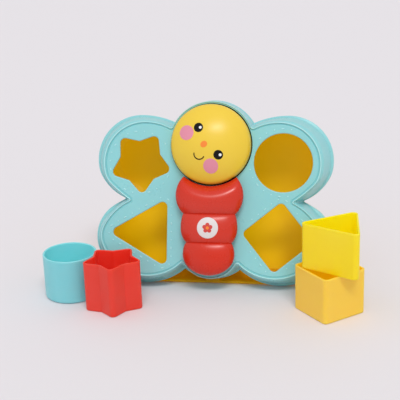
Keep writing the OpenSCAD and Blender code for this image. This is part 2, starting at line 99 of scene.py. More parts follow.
def meet(centre_a, radius_a, centre_b, radius_b):
    """Crossing of two circles, on the left of the line from a to b."""
    gap = np.linalg.norm(centre_b - centre_a)
    along = (radius_a * radius_a - radius_b * radius_b + gap * gap) / (2 * gap)
    aside = math.sqrt(radius_a * radius_a - along * along)
    line = (centre_b - centre_a) / gap
    return centre_a + along * line + aside * np.array([-line[1], line[0]])


CornerArc = namedtuple("CornerArc", "centre radius first sweep cut")


def corner_arc(before, corner, after, radius, longest_cut=math.inf):
    """Arc that rounds a corner and the length it cuts off each side; None if nearly straight."""
    to_before, to_after = unit(before - corner), unit(after - corner)
    half = math.acos(max(-1.0, min(1.0, float(to_before @ to_after)))) / 2
    if half > math.pi / 2 - 1e-4:
        return None
    radius = min(radius, longest_cut * math.tan(half))
    centre = corner + unit(to_before + to_after) * radius / math.sin(half)
    first = heading(corner + to_before * radius / math.tan(half) - centre)
    last = heading(corner + to_after * radius / math.tan(half) - centre)
    return CornerArc(centre, radius, first, wrap(last - first), radius / math.tan(half))


def arc_steps(arc, step, fewest):
    return max(fewest, int(math.ceil(abs(math.radians(arc.sweep)) * arc.radius / step)))


def fillet(corners, radii, closed=True, steps=None, step=None):
    """Polyline with rounded corners, by steps per corner or by step length.

    A radius of 0 leaves its corner sharp.
    """
    corners = [np.array(corner, float) for corner in corners]
    count = len(corners)
    out = []
    for i, (corner, radius) in enumerate(zip(corners, radii)):
        if (not closed and i in (0, count - 1)) or radius <= 0:
            out.append(corner)
            continue
        arc = corner_arc(corners[i - 1], corner, corners[(i + 1) % count], radius)
        if arc is None:
            out.append(corner)
            continue
        n = steps if step is None else arc_steps(arc, step, 2)
        for j in range(n + 1):
            out.append(arc.centre + arc.radius * direction(arc.first + arc.sweep * j / n))
    return np.array(out)


def inset(corners, distance):
    """Corners of a counter-clockwise polygon moved inward."""
    corners = [np.array(corner, float) for corner in corners]
    count = len(corners)
    out = []
    for i, corner in enumerate(corners):
        edge_in = unit(corner - corners[i - 1])
        edge_out = unit(corners[(i + 1) % count] - corner)
        normal_in = np.array([-edge_in[1], edge_in[0]])
        normal_out = np.array([-edge_out[1], edge_out[0]])
        shift = (normal_in + normal_out) * distance / (1 + float(normal_in @ normal_out))
        out.append(corner + shift)
    return out


class Shape:
    """Counter-clockwise polygon with rounded corners. The radii repeat round the corners."""

    def __init__(self, corners, radii, steps):
        self.corners = [np.array(corner, float) for corner in corners]
        self.steps = steps
        count = len(self.corners)
        self.radii = [radii[i % len(radii)] for i in range(count)]
        self.convex = []
        for i, corner in enumerate(self.corners):
            before = corner - self.corners[i - 1]
            after = self.corners[(i + 1) % count] - corner
            self.convex.append(before[0] * after[1] - before[1] * after[0] > 0)

    def loop(self, distance=0.0):
        """Outline moved inward by distance."""
        radii = [max(radius - distance if convex else radius + distance, 0.25)
                 for radius, convex in zip(self.radii, self.convex)]
        return fillet(inset(self.corners, distance), radii, steps=self.steps)


class Disc:
    def __init__(self, radius, steps):
        self.radius, self.steps = radius, steps

    def loop(self, distance=0.0):
        return circle(self.steps) * (self.radius - distance)


def regular(sides, radius, turn):
    return [radius * direction(turn + 360.0 * k / sides) for k in range(sides)]


def triangle(side, turn):
    return regular(3, side / math.sqrt(3), turn)


def square(side, turn):
    return regular(4, side / 2 * math.sqrt(2), turn)


def inside(polygon, points):
    """True for each of the points that lies in the polygon."""
    x, y = points[:, 0], points[:, 1]
    xs, ys = polygon[:, 0], polygon[:, 1]
    hit = np.zeros(len(points), bool)
    for x0, y0, x1, y1 in zip(xs, ys, np.roll(xs, 1), np.roll(ys, 1)):
        if y0 == y1:
            continue
        hit ^= ((y0 > y) != (y1 > y)) & (x < (x1 - x0) * (y - y0) / (y1 - y0) + x0)
    return hit


# ------------------------------------------------------------------ butterfly outline

CREST = 11.7          # the border runs from 0 at the parting line to this at the bead
HEAD_CENTRE = np.array([0.0, 140.6])
OUTLINE_STEP = 1.4    # longest step along the outline

# bulge is 1 for an arc that swells out and -1 for a notch; angles in degrees
Arc = namedtuple("Arc", "centre radius bulge first last")


def wing_centres(tip, inward, radii, turns):
    """Centres of the four arcs of a wing, from its highest or lowest point to its side."""
    centres = [tip + np.array([0, inward * radii[0]]), tip + np.array([0, inward * radii[1]])]
    for k in (0, 1):
        centres.append(centres[-1] + (radii[k + 1] - radii[k + 2]) * direction(turns[k]))
    return centres


def half_outline(head, head_radius, upper_tip, upper_radii, upper_turns,
                 lower_tip, lower_radii, lower_turns, tail, tail_radius, notch, side_notch):
    """Arcs of the right half from crown to tail."""
    head, upper_tip, lower_tip, tail = (
        np.array(p, float) for p in (head, upper_tip, lower_tip, tail))
    upper = wing_centres(upper_tip, -1, upper_radii, upper_turns)
    lower = wing_centres(lower_tip, 1, lower_radii, lower_turns)
    neck = meet(head, head_radius + notch, upper[0], upper_radii[0] + notch)
    side = meet(upper[3], upper_radii[3] + side_notch, lower[3], lower_radii[3] + side_notch)
    hip = meet(lower[0], lower_radii[0] + notch, tail, tail_radius + notch)
    return [
        Arc(head, head_radius, 1, 90, heading(neck - head)),
        Arc(neck, notch, -1, heading(head - neck), heading(upper[0] - neck)),
        Arc(upper[0], upper_radii[0], 1, heading(neck - upper[0]), 90),
        Arc(upper[1], upper_radii[1], 1, 90, upper_turns[0]),
        Arc(upper[2], upper_radii[2], 1, upper_turns[0], upper_turns[1]),
        Arc(upper[3], upper_radii[3], 1, upper_turns[1], heading(side - upper[3])),
        Arc(side, side_notch, -1, heading(upper[3] - side), heading(lower[3] - side)),
        Arc(lower[3], lower_radii[3], 1, heading(side - lower[3]), lower_turns[1]),
        Arc(lower[2], lower_radii[2], 1, lower_turns[1], lower_turns[0]),
        Arc(lower[1], lower_radii[1], 1, lower_turns[0], -90),
        Arc(lower[0], lower_radii[0], 1, -90, heading(hip - lower[0])),
        Arc(hip, notch, -1, heading(lower[0] - hip), heading(tail - hip)),
        Arc(tail, tail_radius, 1, heading(hip - tail), -90)]


PARTING_ARCS = half_outline(
    head=(0, 139.8), head_radius=46.5,
    upper_tip=(75, 171.2), upper_radii=(85, 45.3, 29, 50.3), upper_turns=(-10.5, -27),
    lower_tip=(68.7, 0), lower_radii=(61.8, 53.1, 37.2, 140), lower_turns=(-23, 57.7),
    tail=(0, 50.9), tail_radius=45.4, notch=1.0, side_notch=1.0)
CREST_ARCS = half_outline(
    head=HEAD_CENTRE, head_radius=42.4,
    upper_tip=(66.9, 162.7), upper_radii=(54.8, 41.1, 18.9, 120), upper_turns=(-17.7, -44.4),
    lower_tip=(63.9, 9), lower_radii=(50.9, 47.8, 22.6, 57.6), lower_turns=(-20.7, 27.4),
    tail=(0, 37.2), tail_radius=29.4, notch=2.4, side_notch=1.2)


def sweep(arc):
    turn = wrap(arc.last - arc.first)
    return turn + 360 if arc.bulge < 0 and turn < 0 else turn


def stepped_length(arc):
    """Length that sets an arc's steps; notches count with 4 mm more radius."""
    return abs(math.radians(sweep(arc))) * (arc.radius + (4 if arc.bulge < 0 else 0))


ARC_STEPS = [max(8, int(math.ceil(max(stepped_length(a), stepped_length(b)) / OUTLINE_STEP)))
             for a, b in zip(PARTING_ARCS, CREST_ARCS)]


def walk(arcs):
    """Points along the arcs: x, y and the outward angle."""
    out = []
    for arc, steps in zip(arcs, ARC_STEPS):
        for j in range(steps):
            angle = arc.first + sweep(arc) * j / steps
            x, y = arc.centre + arc.radius * direction(angle)
            out.append((x, y, angle if arc.bulge > 0 else angle + 180))
    x, y = arcs[-1].centre + arcs[-1].radius * direction(-90)
    out.append((x, y, -90))
    return np.array(out)


PARTING_WALK, CREST_WALK = walk(PARTING_ARCS), walk(CREST_ARCS)
WALK_TURN = (CREST_WALK[:, 2] - PARTING_WALK[:, 2] + 180) % 360 - 180


def outline(border, inward=0.0):
    """Whole outline at a place on the border, moved inward. Past the crest it only moves in."""
    if border > CREST:
        border, inward = CREST, inward + border - CREST
    t = border / CREST
    half = PARTING_WALK[:, :2] * (1 - t) + CREST_WALK[:, :2] * t
    angle = np.radians(PARTING_WALK[:, 2] + WALK_TURN * t)
    half = half - inward * np.stack([np.cos(angle), np.sin(angle)], -1)
    return np.vstack([half, half[-2:0:-1] * np.array([-1, 1])])


def clear_head(points, radius):
    """Points nearer to the head's middle than radius are pushed out to it."""
    arm = points - HEAD_CENTRE
    distance = np.linalg.norm(arm, axis=1)
    near = distance < radius
    scale = np.where(near, radius / np.maximum(distance, 1e-6), 1.0)
    return HEAD_CENTRE + arm * scale[:, None], near


# ------------------------------------------------------------------ meshing

def lift(points, z):
    """Flat points given a height, or one height each."""
    return np.column_stack([points, np.zeros(len(points)) + z])


class Builder:
    """Vertices in mm and faces that share them by index."""

    def __init__(self):
        self.chunks, self.faces, self.count = [], [], 0

    def points(self, points):
        points = np.asarray(points, float).reshape(-1, 3)
        self.chunks.append(points)
        ids = np.arange(self.count, self.count + len(points))
        self.count += len(points)
        return ids

    def array(self):
        return np.vstack(self.chunks)

    def face(self, *ids):
        self.faces.append(tuple(int(i) for i in ids))

    def bands(self, rings):
        """Quads between each ring and the next, all of equal length."""
        for a, b in zip(rings[:-1], rings[1:]):
            for k in range(len(a)):
                after = (k + 1) % len(a)
                self.face(a[k], a[after], b[after], b[k])

    def fan(self, ring, centre, flip=False):
        middle = self.points([centre])[0]
        for k in range(len(ring)):
            a, b = ring[k], ring[(k + 1) % len(ring)]
            self.face(*((b, a, middle) if flip else (a, b, middle)))

    def fill(self, outer, holes=(), flip=False):
        """Flat surface between an outer ring and its holes."""
        xy = self.array()[:, :2]
        loops = [list(map(int, loop)) for loop in (outer, *holes)]
        ids = [i for loop in loops for i in loop]
        edges, base = [], 0
        for loop in loops:
            edges += [(base + k, base + (k + 1) % len(loop)) for k in range(len(loop))]
            base += len(loop)
        flat = [Vector((float(xy[i][0]), float(xy[i][1]))) for i in ids]
        places, _, faces, origins, _, _ = delaunay_2d_cdt(flat, edges, [], 1, 1e-6, True)
        source = [ids[origin[0]] if origin else None for origin in origins]
        faces = [face for face in faces if all(source[k] is not None for k in face)]
        centres = np.array([[sum(places[k][axis] for k in face) / len(face) for axis in (0, 1)]
                            for face in faces])
        keep = inside(xy[loops[0]], centres)
        for loop in loops[1:]:
            keep &= ~inside(xy[loop], centres)
        for face, kept in zip(faces, keep):
            if not kept:
                continue
            face = [source[k] for k in face]
            a, b, c = (xy[k] for k in face[:3])
            area = (b[0] - a[0]) * (c[1] - a[1]) - (b[1] - a[1]) * (c[0] - a[0])
            if (area < 0) != flip:
                face = face[::-1]
            self.face(*face)

    def closed_stack(self, rings):
        """Solid from rings that run from low to high."""
        self.bands(rings[::-1])
        self.fill(rings[-1])
        self.fill(rings[0], flip=True)

    def lathe(self, profile, centre=(0, 0), segments=96):
        """Turns (radius, z) stations about centre; radius 0 makes a pole. Returns the rings."""
        ring = circle(segments, -1)
        rings = []
        for radius, z in profile:
            if radius < 1e-6:
                rings.append((centre[0], centre[1], z))
            else:
                rings.append(self.points(lift(ring * radius + np.array(centre), z)))
        for a, b in zip(rings[:-1], rings[1:]):
            if isinstance(a, tuple):
                self.fan(b, a, flip=True)
            elif isinstance(b, tuple):
                self.fan(a, b)
            else:
                self.bands([a, b])
        return rings

    def add(self, other, move):
        base = self.count
        self.points(move(other.array()))
        self.faces += [tuple(i + base for i in face) for face in other.faces]

    def box(self, low, high, radius=0.8):
        """Box with rounded upright edges and chamfered ends."""
        shape = Shape([(low[0], low[1]), (high[0], low[1]), (high[0], high[1]),
                       (low[0], high[1])], [radius], 5)
        chamfer = min(radius, 0.6)
        rows = [(chamfer, low[2]), (0, low[2] + chamfer), (0, high[2] - chamfer),
                (chamfer, high[2])]
        self.closed_stack([self.points(lift(shape.loop(d)[::-1], z)) for d, z in rows])


def make(name, builder, material, body, replaces=None, place=stand, sharp=32.0):
    """Object from a builder, smooth but for edges sharper than the angle, hung under its body's
    empty; the CAD part it replaces is hidden.
    """
    mesh = bpy.data.meshes.new(name)
    mesh.from_pydata(place(builder.array()).tolist(), [], builder.faces)
    mesh.validate()
    mesh.update()
    mesh.polygons.foreach_set("use_smooth", [True] * len(mesh.polygons))
    mesh.set_sharp_from_angle(angle=math.radians(sharp))
    ob = bpy.data.objects.new(name, mesh)
    bpy.context.scene.collection.objects.link(ob)
    mesh.materials.append(material)
    normals = ob.modifiers.new("normals", "WEIGHTED_NORMAL")
    normals.keep_sharp = True
    normals.weight = 60
    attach(ob, body)
    if replaces:
        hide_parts(replaces)
    return ob


# ------------------------------------------------------------------ materials

def linear(value):
    value = value / 255.0
    return value / 12.92 if value <= 0.04045 else ((value + 0.055) / 1.055) ** 2.4


def rgb(red, green, blue):
    """8-bit sRGB colour as linear RGBA."""
    return (linear(red), linear(green), linear(blue), 1.0)


def add_node(tree, kind, **values):
    """Shader node with input values; an underscore stands for a space in an input's name."""
    node = tree.nodes.new("ShaderNode" + kind)
    for name, value in values.items():
        node.inputs[name.replace("_", " ")].default_value = value
    return node


def add_noise(tree, coords, scale, detail=3.0, roughness=0.5):
    node = add_node(tree, "TexNoise", Scale=scale, Detail=detail, Roughness=roughness)
    tree.links.new(coords.outputs["Object"], node.inputs["Vector"])
    return node.outputs["Fac"]


def remap(tree, source, low, high, start=0.3, end=0.7):
    """Map Range node that takes start..end to low..high."""
    node = add_node(tree, "MapRange", From_Min=start, From_Max=end, To_Min=low, To_Max=high)
    tree.links.new(source, node.inputs["Value"])
    return node


def light_pools(tree, coords, pools):
    """Sum of soft round spots seen from the front."""
    split = add_node(tree, "SeparateXYZ")
    tree.links.new(coords.outputs["Object"], split.inputs["Vector"])
    flat = add_node(tree, "CombineXYZ")
    for axis in ("X", "Z"):
        tree.links.new(split.outputs[axis], flat.inputs[axis])
    total = None
    for x, z, radius, strength in pools:
        distance = add_node(tree, "VectorMath")
        distance.operation = "DISTANCE"
        tree.links.new(flat.outputs["Vector"], distance.inputs[0])
        distance.inputs[1].default_value = (x, 0.0, z)
        spot = remap(tree, distance.outputs["Value"], low=strength, high=0.0,
                     start=radius - 0.009, end=radius + 0.011)
        spot.interpolation_type = "SMOOTHSTEP"
        if total is None:
            total = spot.outputs["Result"]
        else:
            both = add_node(tree, "Math")
            both.operation = "ADD"
            tree.links.new(total, both.inputs[0])
            tree.links.new(spot.outputs["Result"], both.inputs[1])
            total = both.outputs["Value"]
    return total


def plastic(name, colour, rough=0.45, drift=0.03, grain=0.04, specular=0.5, scatter=0.0,
            scatter_radius=(0.004, 0.003, 0.002), glow=None, pools=None,
            translucent=0.0, through_colour=None):
    """Moulded plastic: slow colour drift, uneven gloss and fine moulding grain."""
    material = bpy.data.materials.new(name)
    material.use_nodes = True
    tree = material.node_tree
    link = tree.links.new
    tree.nodes.clear()
    output = add_node(tree, "OutputMaterial")
    shader = add_node(
        tree, "BsdfPrincipled", Specular_IOR_Level=specular, Coat_Roughness=0.18,
        Subsurface_Weight=scatter, Subsurface_Radius=scatter_radius, Subsurface_Scale=1.0)
    coords = add_node(tree, "TexCoord")

    # colour drift: lighter and darker, and more and less saturated
    tone = add_node(tree, "HueSaturation", Color=colour)
    for target, scale, detail, amount in (("Value", 22.0, 4.0, drift),
                                          ("Saturation", 9.0, 2.0, drift * 0.8)):
        noise = add_noise(tree, coords, scale, detail)
        amount = remap(tree, noise, low=1.0 - amount, high=1.0 + amount)
        link(amount.outputs["Result"], tone.inputs[target])
    link(tone.outputs["Color"], shader.inputs["Base Color"])

    gloss = add_noise(tree, coords, scale=55.0, detail=5.0, roughness=0.6)
    gloss = remap(tree, gloss, low=rough - 0.05, high=rough + 0.05)
    link(gloss.outputs["Result"], shader.inputs["Roughness"])

    bump = add_node(tree, "Bump", Strength=grain, Distance=0.0002)
    link(add_noise(tree, coords, scale=2400.0, detail=2.0), bump.inputs["Height"])
    link(bump.outputs["Normal"], shader.inputs["Normal"])

    if glow:
        # painted glow: emission that stands in for light reaching the surface through the thin
        # wall
        shader.inputs["Emission Color"].default_value = (*glow, 1.0)
        shader.inputs["Emission Strength"].default_value = 1.0
    if pools:
        link(light_pools(tree, coords, pools), shader.inputs["Emission Strength"])
    if translucent:
        through = add_node(tree, "BsdfTranslucent", Color=through_colour)
        mix = add_node(tree, "MixShader", Fac=translucent)
        link(shader.outputs["BSDF"], mix.inputs[1])
        link(through.outputs["BSDF"], mix.inputs[2])
        link(mix.outputs["Shader"], output.inputs["Surface"])
    else:
        link(shader.outputs["BSDF"], output.inputs["Surface"])
    material.diffuse_color = colour
    return material


def block_plastic(name, colour, drift=0.02, glow=None):
    """Thin-walled block plastic that scatters light right through."""
    return plastic(name, colour, drift=drift, grain=0.06, scatter=1.0,
                   scatter_radius=(0.004, 0.004, 0.004), glow=glow)


def amber_plastic(name, **extra):
    return plastic(name, rgb(255, 210, 4), grain=0.06, translucent=0.66,
                   through_colour=rgb(255, 228, 2), **extra)


def metal(name, colour, rough):
    material = bpy.data.materials.new(name)
    material.use_nodes = True
    tree = material.node_tree
    link = tree.links.new
    shader = tree.nodes["Principled BSDF"]
    coords = add_node(tree, "TexCoord")
    noise = add_noise(tree, coords, scale=600.0, detail=4.0)
    gloss = remap(tree, noise, low=rough - 0.08, high=rough + 0.1)
    link(gloss.outputs["Result"], shader.inputs["Roughness"])
    tone = add_node(tree, "HueSaturation", Color=colour)
    link(remap(tree, noise, low=0.85, high=1.1).outputs["Result"], tone.inputs["Value"])
    link(tone.outputs["Color"], shader.inputs["Base Color"])
    shader.inputs["Metallic"].default_value = 1.0
    bump = add_node(tree, "Bump", Strength=0.08, Distance=0.0002)
    link(noise, bump.inputs["Height"])
    link(bump.outputs["Normal"], shader.inputs["Normal"])
    material.diffuse_color = colour
    return material


# light on the tray's back wall: world x, z and radius in metres, strength
TRAY_POOLS = (
    (-0.084, 0.0455, 0.021, 1.0), (-0.056, 0.062, 0.012, 0.6), (-0.068, 0.010, 0.016, 1.0),
    (0.040, 0.052, 0.024, 0.85), (0.066, 0.064, 0.013, 0.6), (0.050, 0.006, 0.019, 0.9),
    (-0.080, 0.080, 0.010, 0.3), (0.050, 0.029, 0.023, 0.5))

TURQUOISE = plastic("turquoise_plastic", rgb(142, 208, 212),
                    rough=0.31, drift=0.02, grain=0.05, scatter=0.1)
# paler turquoise on the same plastic: a painted highlight for the raised marks and the bead crest
PAINTED_HIGHLIGHT_TURQUOISE = plastic("turquoise_painted_highlight", rgb(178, 231, 234), rough=0.25, drift=0.02, grain=0.03)
BLOCK_TURQUOISE = block_plastic("turquoise_block", rgb(134, 206, 213))
AMBER = amber_plastic("amber_plastic")
# painted glow and painted pools of light for the inner front of the tray's back wall, standing in
# for light through the holes and the wall
AMBER_PAINTED_GLOW = amber_plastic("amber_plastic_painted_glow", glow=(0.27, 0.20, 0.0), pools=TRAY_POOLS)
RED = plastic("red_plastic", rgb(207, 44, 20), rough=0.27, specular=0.46)
BLOCK_RED = block_plastic("red_block", rgb(224, 58, 38), drift=0.03)
YELLOW = plastic("yellow_plastic", rgb(236, 201, 60),
                 rough=0.33, drift=0.02, scatter=0.06, specular=0.36)
# inner faces of the blocks: painted glow that stands in for light coming through the thin walls
TURQUOISE_GLOW_IN = block_plastic("turquoise_block_inside_painted_glow", rgb(134, 206, 213),
                             glow=(0.01, 0.085, 0.08))
RED_GLOW_IN = block_plastic("red_block_inside_painted_glow", rgb(234, 52, 30), drift=0.03, glow=(0.05, 0.0, 0.0))
LEMON_GLOW_IN = block_plastic("lemon_block_inside_painted_glow", rgb(250, 218, 14), glow=(0.07, 0.095, 0.0))
STRAW_GLOW_IN = block_plastic("straw_block_inside_painted_glow", rgb(255, 196, 50), glow=(0.13, 0.11, 0.0))
LEMON = block_plastic("lemon_block", rgb(246, 216, 28))
STRAW = block_plastic("straw_block", rgb(255, 204, 76))
WHITE = plastic("white_plastic", rgb(221, 215, 215), drift=0.02, grain=0.05)
STEEL = metal("zinc_plated_steel", rgb(196, 198, 200), rough=0.32)
INK_WHITE = plastic("white_print", rgb(240, 240, 238), rough=0.4, drift=0.02, grain=0.03)
INK_BLACK = plastic("black_print", rgb(10, 8, 10),
                    rough=0.4, drift=0.05, grain=0.03, specular=0.2)
INK_PINK = plastic("pink_print", rgb(226, 140, 162))
INK_ORANGE = plastic("orange_print", rgb(244, 132, 24), rough=0.42)
INK_BROWN = plastic("brown_print", rgb(44, 18, 8), rough=0.42, drift=0.04, specular=0.2)
INK_RED = plastic("badge_flower_red", rgb(206, 60, 52), rough=0.42)
SHADE_TURQUOISE = plastic("turquoise_in_shade", rgb(26, 58, 56),
                          rough=0.7, grain=0.05, specular=0.1)
SHADE_RED = plastic("red_in_shade", rgb(58, 12, 6), rough=0.7, grain=0.05, specular=0.1)


# ------------------------------------------------------------------ second materials

def face_data(ob):
    """Centres, in metres, and normals of an object's faces."""
    out = []
    for field in ("center", "normal"):
        values = np.zeros(len(ob.data.polygons) * 3)
        ob.data.polygons.foreach_get(field, values)
        out.append(values.reshape(-1, 3))
    return out


def paint_faces(ob, material, picked):
    """Adds a second material for the picked faces."""
    ob.data.materials.append(material)
    ob.data.polygons.foreach_set("material_index", picked.astype(int))


def paint_block_inside(ob, centre, material, floor_top):
    """Inner walls, and upward faces below floor_top, get the second material with the painted
    glow.
    """
    centres, normals = face_data(ob)
    inward = (normals[:, 0] * (centres[:, 0] - centre[0] * 0.001)
              + normals[:, 1] * (centres[:, 1] - centre[1] * 0.001)) < -1e-6
    floor_faces = (normals[:, 2] > 0.5) & (centres[:, 2] < floor_top * 0.001)
    paint_faces(ob, material, inward | floor_faces)


def paint_tray_floor(ob, material, top):
    """Front side of the tray's back wall, below a height in the plate's frame."""
    centres, normals = face_data(ob)
    forward = normals[:, 2] * SIN_LEAN - normals[:, 1] * COS_LEAN > 0.4
    paint_faces(ob, material, (lay_back(centres * 1000.0)[:, 2] < top) & forward)


def paint_head_gap(ob, material, inner, outer, top, bottom=-99.0):
    """Deep shade in the ring round the head, between two radii and two heights."""
    places = lay_back(face_data(ob)[0] * 1000.0)
    radius = np.hypot(*(places[:, :2] - HEAD_CENTRE).T)
    z = places[:, 2]
    paint_faces(ob, material, (radius > inner) & (radius < outer) & (z < top) & (z > bottom))


# ------------------------------------------------------------------ front shell

FACE_Z, BACK_Z = 26.0, 24.1                        # the plate's front and back surfaces
GROOVE_OUT, GROOVE_IN, GROOVE_Z = 40.75, 36.4, 21.0   # ring groove that the head's skirt runs in
PIVOT_RADIUS = 33         # openings nearer to the head's middle lie inside the groove
STAR_CORNERS = [(33 if k % 2 == 0 else 21.3) * direction(-86.1 + 36 * k) for k in range(10)]

# shape and centre
CIRCLE_HOLE = (Disc(29.0, 168), (71.4, 123.2))
STAR_HOLE = (Shape(STAR_CORNERS, [5.0, 2.5], 12), (-71.4, 122.1))
TRIANGLE_HOLE = (Shape(triangle(69, 180), [5.0], 18), (-63.4, 52.0))
SQUARE_HOLE = (Shape(square(50.6, 84), [5.0], 14), (66.9, 49.5))
HOLES = [CIRCLE_HOLE, STAR_HOLE, TRIANGLE_HOLE, SQUARE_HOLE]

# from the inside of the parting land, round the lip, up the wall and over the bead to the face:
# place on the border, height, corner radius
SHELL_OUTSIDE = [
    (4.8, 0, 0), (0, 0, 0.5), (0, 2.5, 0.8), (2.4, 3.4, 0.5), (8.6, 24.2, 5.0), (11.7, 27.3, 0.6),
    (13.0, 24.9, 0.35), (14.1, FACE_Z, 0.45), (15.5, FACE_Z, 0)]
LAND_EDGE = (2.0, 2.4)    # border place and inward shift of the land's inner edge
HEAD_CLEAR_FROM = 11.2    # from here on the border keeps clear of the head
# place on the border, inward shift, height, clearance radius at the head
SHELL_INSIDE = [
    (11.7, 3.8, BACK_Z, 42.75), (9.6, 1.9, BACK_Z, 42.85), (9.0, 1.7, 23.7, 42.9),
    (8.5, 1.7, 23.1, 42.9), (7.8, 1.8, 22.1, 42.95)]
# collar and bore in the middle of the head's seat: radius, height
COLLAR = [
    (13.6, FACE_Z), (13.0, FACE_Z + 0.6), (13.0, FACE_Z + 1.0), (12.8, FACE_Z + 1.2),
    (8.4, FACE_Z + 1.2), (8.06, FACE_Z + 0.9), (8.06, BACK_Z + 0.3), (8.3, BACK_Z)]
GROOVE_FRONT = [
    (GROOVE_OUT + 0.12, FACE_Z), (GROOVE_OUT, FACE_Z - 0.12), (GROOVE_OUT, GROOVE_Z + 0.5),
    (GROOVE_OUT - 0.5, GROOVE_Z), (GROOVE_IN + 0.5, GROOVE_Z), (GROOVE_IN, GROOVE_Z + 0.5),
    (GROOVE_IN, FACE_Z - 0.3), (GROOVE_IN - 0.3, FACE_Z)]
GROOVE_BACK = [
    (GROOVE_IN - 1.5, BACK_Z), (GROOVE_IN - 1.5, GROOVE_Z - 1.3),
    (GROOVE_IN - 1.2, GROOVE_Z - 1.6), (GROOVE_OUT + 1.1, GROOVE_Z - 1.6),
    (GROOVE_OUT + 1.4, GROOVE_Z - 1.3), (GROOVE_OUT + 1.4, BACK_Z)]
# screw bosses behind the face: centre, radius, height of the free end
BOSSES = [(HEAD_CENTRE + 25 * direction(angle), 3.2, 14.0) for angle in (90, 210, 330)]
BOSSES.append((HEAD_CENTRE + np.array([17.6, -19]), 3.4, 22.9))
SMALL_HOLE_YS = (88.0, 32.7)


def cut_hole(shell, shape, centre, edge=0.9, foot=0.4):
    """Wall of a hole with a rounded front edge; returns its front and back rings."""
    profile = [(-edge, FACE_Z)]
    profile += [(-edge + edge * math.sin(a), FACE_Z - edge * (1 - math.cos(a)))
                for a in np.radians([15, 30, 45, 60, 75, 90])]
    profile += [(0, BACK_Z + foot), (-foot * 0.3, BACK_Z + foot * 0.3), (-foot, BACK_Z)]
    rings = [shell.points(lift(shape.loop(d)[::-1] + np.array(centre), z)) for d, z in profile]
    shell.bands(rings)
    return rings[0], rings[-1]


def boss_profile(radius, end):
    return [(radius + 0.6, BACK_Z), (radius, BACK_Z - 0.6), (radius, end + 0.3),
            (radius - 0.3, end), (1.3, end), (1.1, end + 0.3),
            (1.1, min(end + 8, BACK_Z - 0.4)), (0, min(end + 8.4, BACK_Z))]


def front_shell():
    shell = Builder()
    outside = []
    profile = fillet([row[:2] for row in SHELL_OUTSIDE], [row[2] for row in SHELL_OUTSIDE],
                     closed=False, step=0.45)
    for index, (border, height) in enumerate(profile):
        points = outline(*LAND_EDGE) if index == 0 else outline(border)
        if border > HEAD_CLEAR_FROM:
            points, near = clear_head(points, 41.45 + max(0.0, 13.4 - border) * 0.25)
            height = np.where(near, max(height, FACE_Z), height)
        outside.append(shell.points(lift(points, height)))
    shell.bands(outside[::-1])
    inner = []
    for border, inward, height, clearance in SHELL_INSIDE:
        points, _ = clear_head(outline(border, inward), clearance)
        inner.append(shell.points(lift(points, height)))
    shell.bands([outside[0]] + inner[::-1])

    openings = [cut_hole(shell, shape, centre) for shape, centre in HOLES]
    openings += [cut_hole(shell, Disc(1.6, 24), (0, y), edge=0.1, foot=0.1)
                 for y in SMALL_HOLE_YS]
    collar = shell.lathe(COLLAR, HEAD_CENTRE, 96)
    openings.append((collar[0], collar[-1]))
    front_holes = [front for front, _ in openings]
    back_holes = [back for _, back in openings]
    for centre, radius, end in BOSSES:
        back_holes.append(shell.lathe(boss_profile(radius, end), centre, 40)[0])
    groove = shell.lathe(GROOVE_FRONT, HEAD_CENTRE, 192)
    groove_back = shell.lathe(GROOVE_BACK, HEAD_CENTRE, 192)

    # front and back faces, each in two parts: round the groove and within it
    xy = shell.array()[:, :2]

    def split(rings):
        central = [np.hypot(*(xy[ring].mean(0) - HEAD_CENTRE)) < PIVOT_RADIUS for ring in rings]
        return ([ring for ring, c in zip(rings, central) if not c],
                [ring for ring, c in zip(rings, central) if c])

    wing_holes, seat_holes = split(front_holes)
    shell.fill(outside[-1], wing_holes + [groove[0]])
    shell.fill(groove[-1], seat_holes)
    wing_holes, seat_holes = split(back_holes)
    shell.fill(inner[0], wing_holes + [groove_back[-1]], flip=True)
    shell.fill(groove_back[0], seat_holes, flip=True)
    return shell


HINGE_Y, HINGE_Z = 175.0, -5.0


def hinge_barrel(builder, start, end):
    """Hollow barrel about the hinge axis, which runs across the toy."""
    barrel = Builder()
    barrel.lathe([(1.55, start), (1.55, end), (3.5, end), (4.0, end - 0.5),
                  (4.0, start + 0.5), (3.5, start), (1.55, start)], segments=48)
    builder.add(barrel, lambda v: np.column_stack([v[:, 2], HINGE_Y + v[:, 0],
                                                   HINGE_Z + v[:, 1]]))


def hinge_ears(shell):
    for side in (-1, 1):
        start, end = side * 17.5 - 3.5, side * 17.5 + 3.5
        hinge_barrel(shell, start, end)
        shell.box((start + 0.2, 171.6, -4.6), (end - 0.2, 177.2, 1.4), 0.6)


# ------------------------------------------------------------------ raised marks

MARK_HEIGHT = 0.55
MARK_SINK = 0.1
DASH, DOT = (3.0, 1.3), (1.5, 1.45)     # length and width
MARK_OFFSET = 4.4                       # marks lie this far outside a hole
MARK_PITCH, MARK_START = 8.2, 0.35      # spacing, and the first mark in parts of a pitch
STAR_MARKS = Disc(31.2, 160)            # the star's marks follow a circle
CREST_CENTRE = np.array([11.555, 26.307])    # place on the border, height
# section of the crest strip about that centre, coloured paler as a painted highlight: radius,
# angle
CREST_SECTION = [
    (0.45, 132), (0.63, 130), (0.7, 120), (0.72, 105), (0.72, 90), (0.72, 75), (0.72, 60),
    (0.7, 45), (0.63, 32), (0.45, 30)]


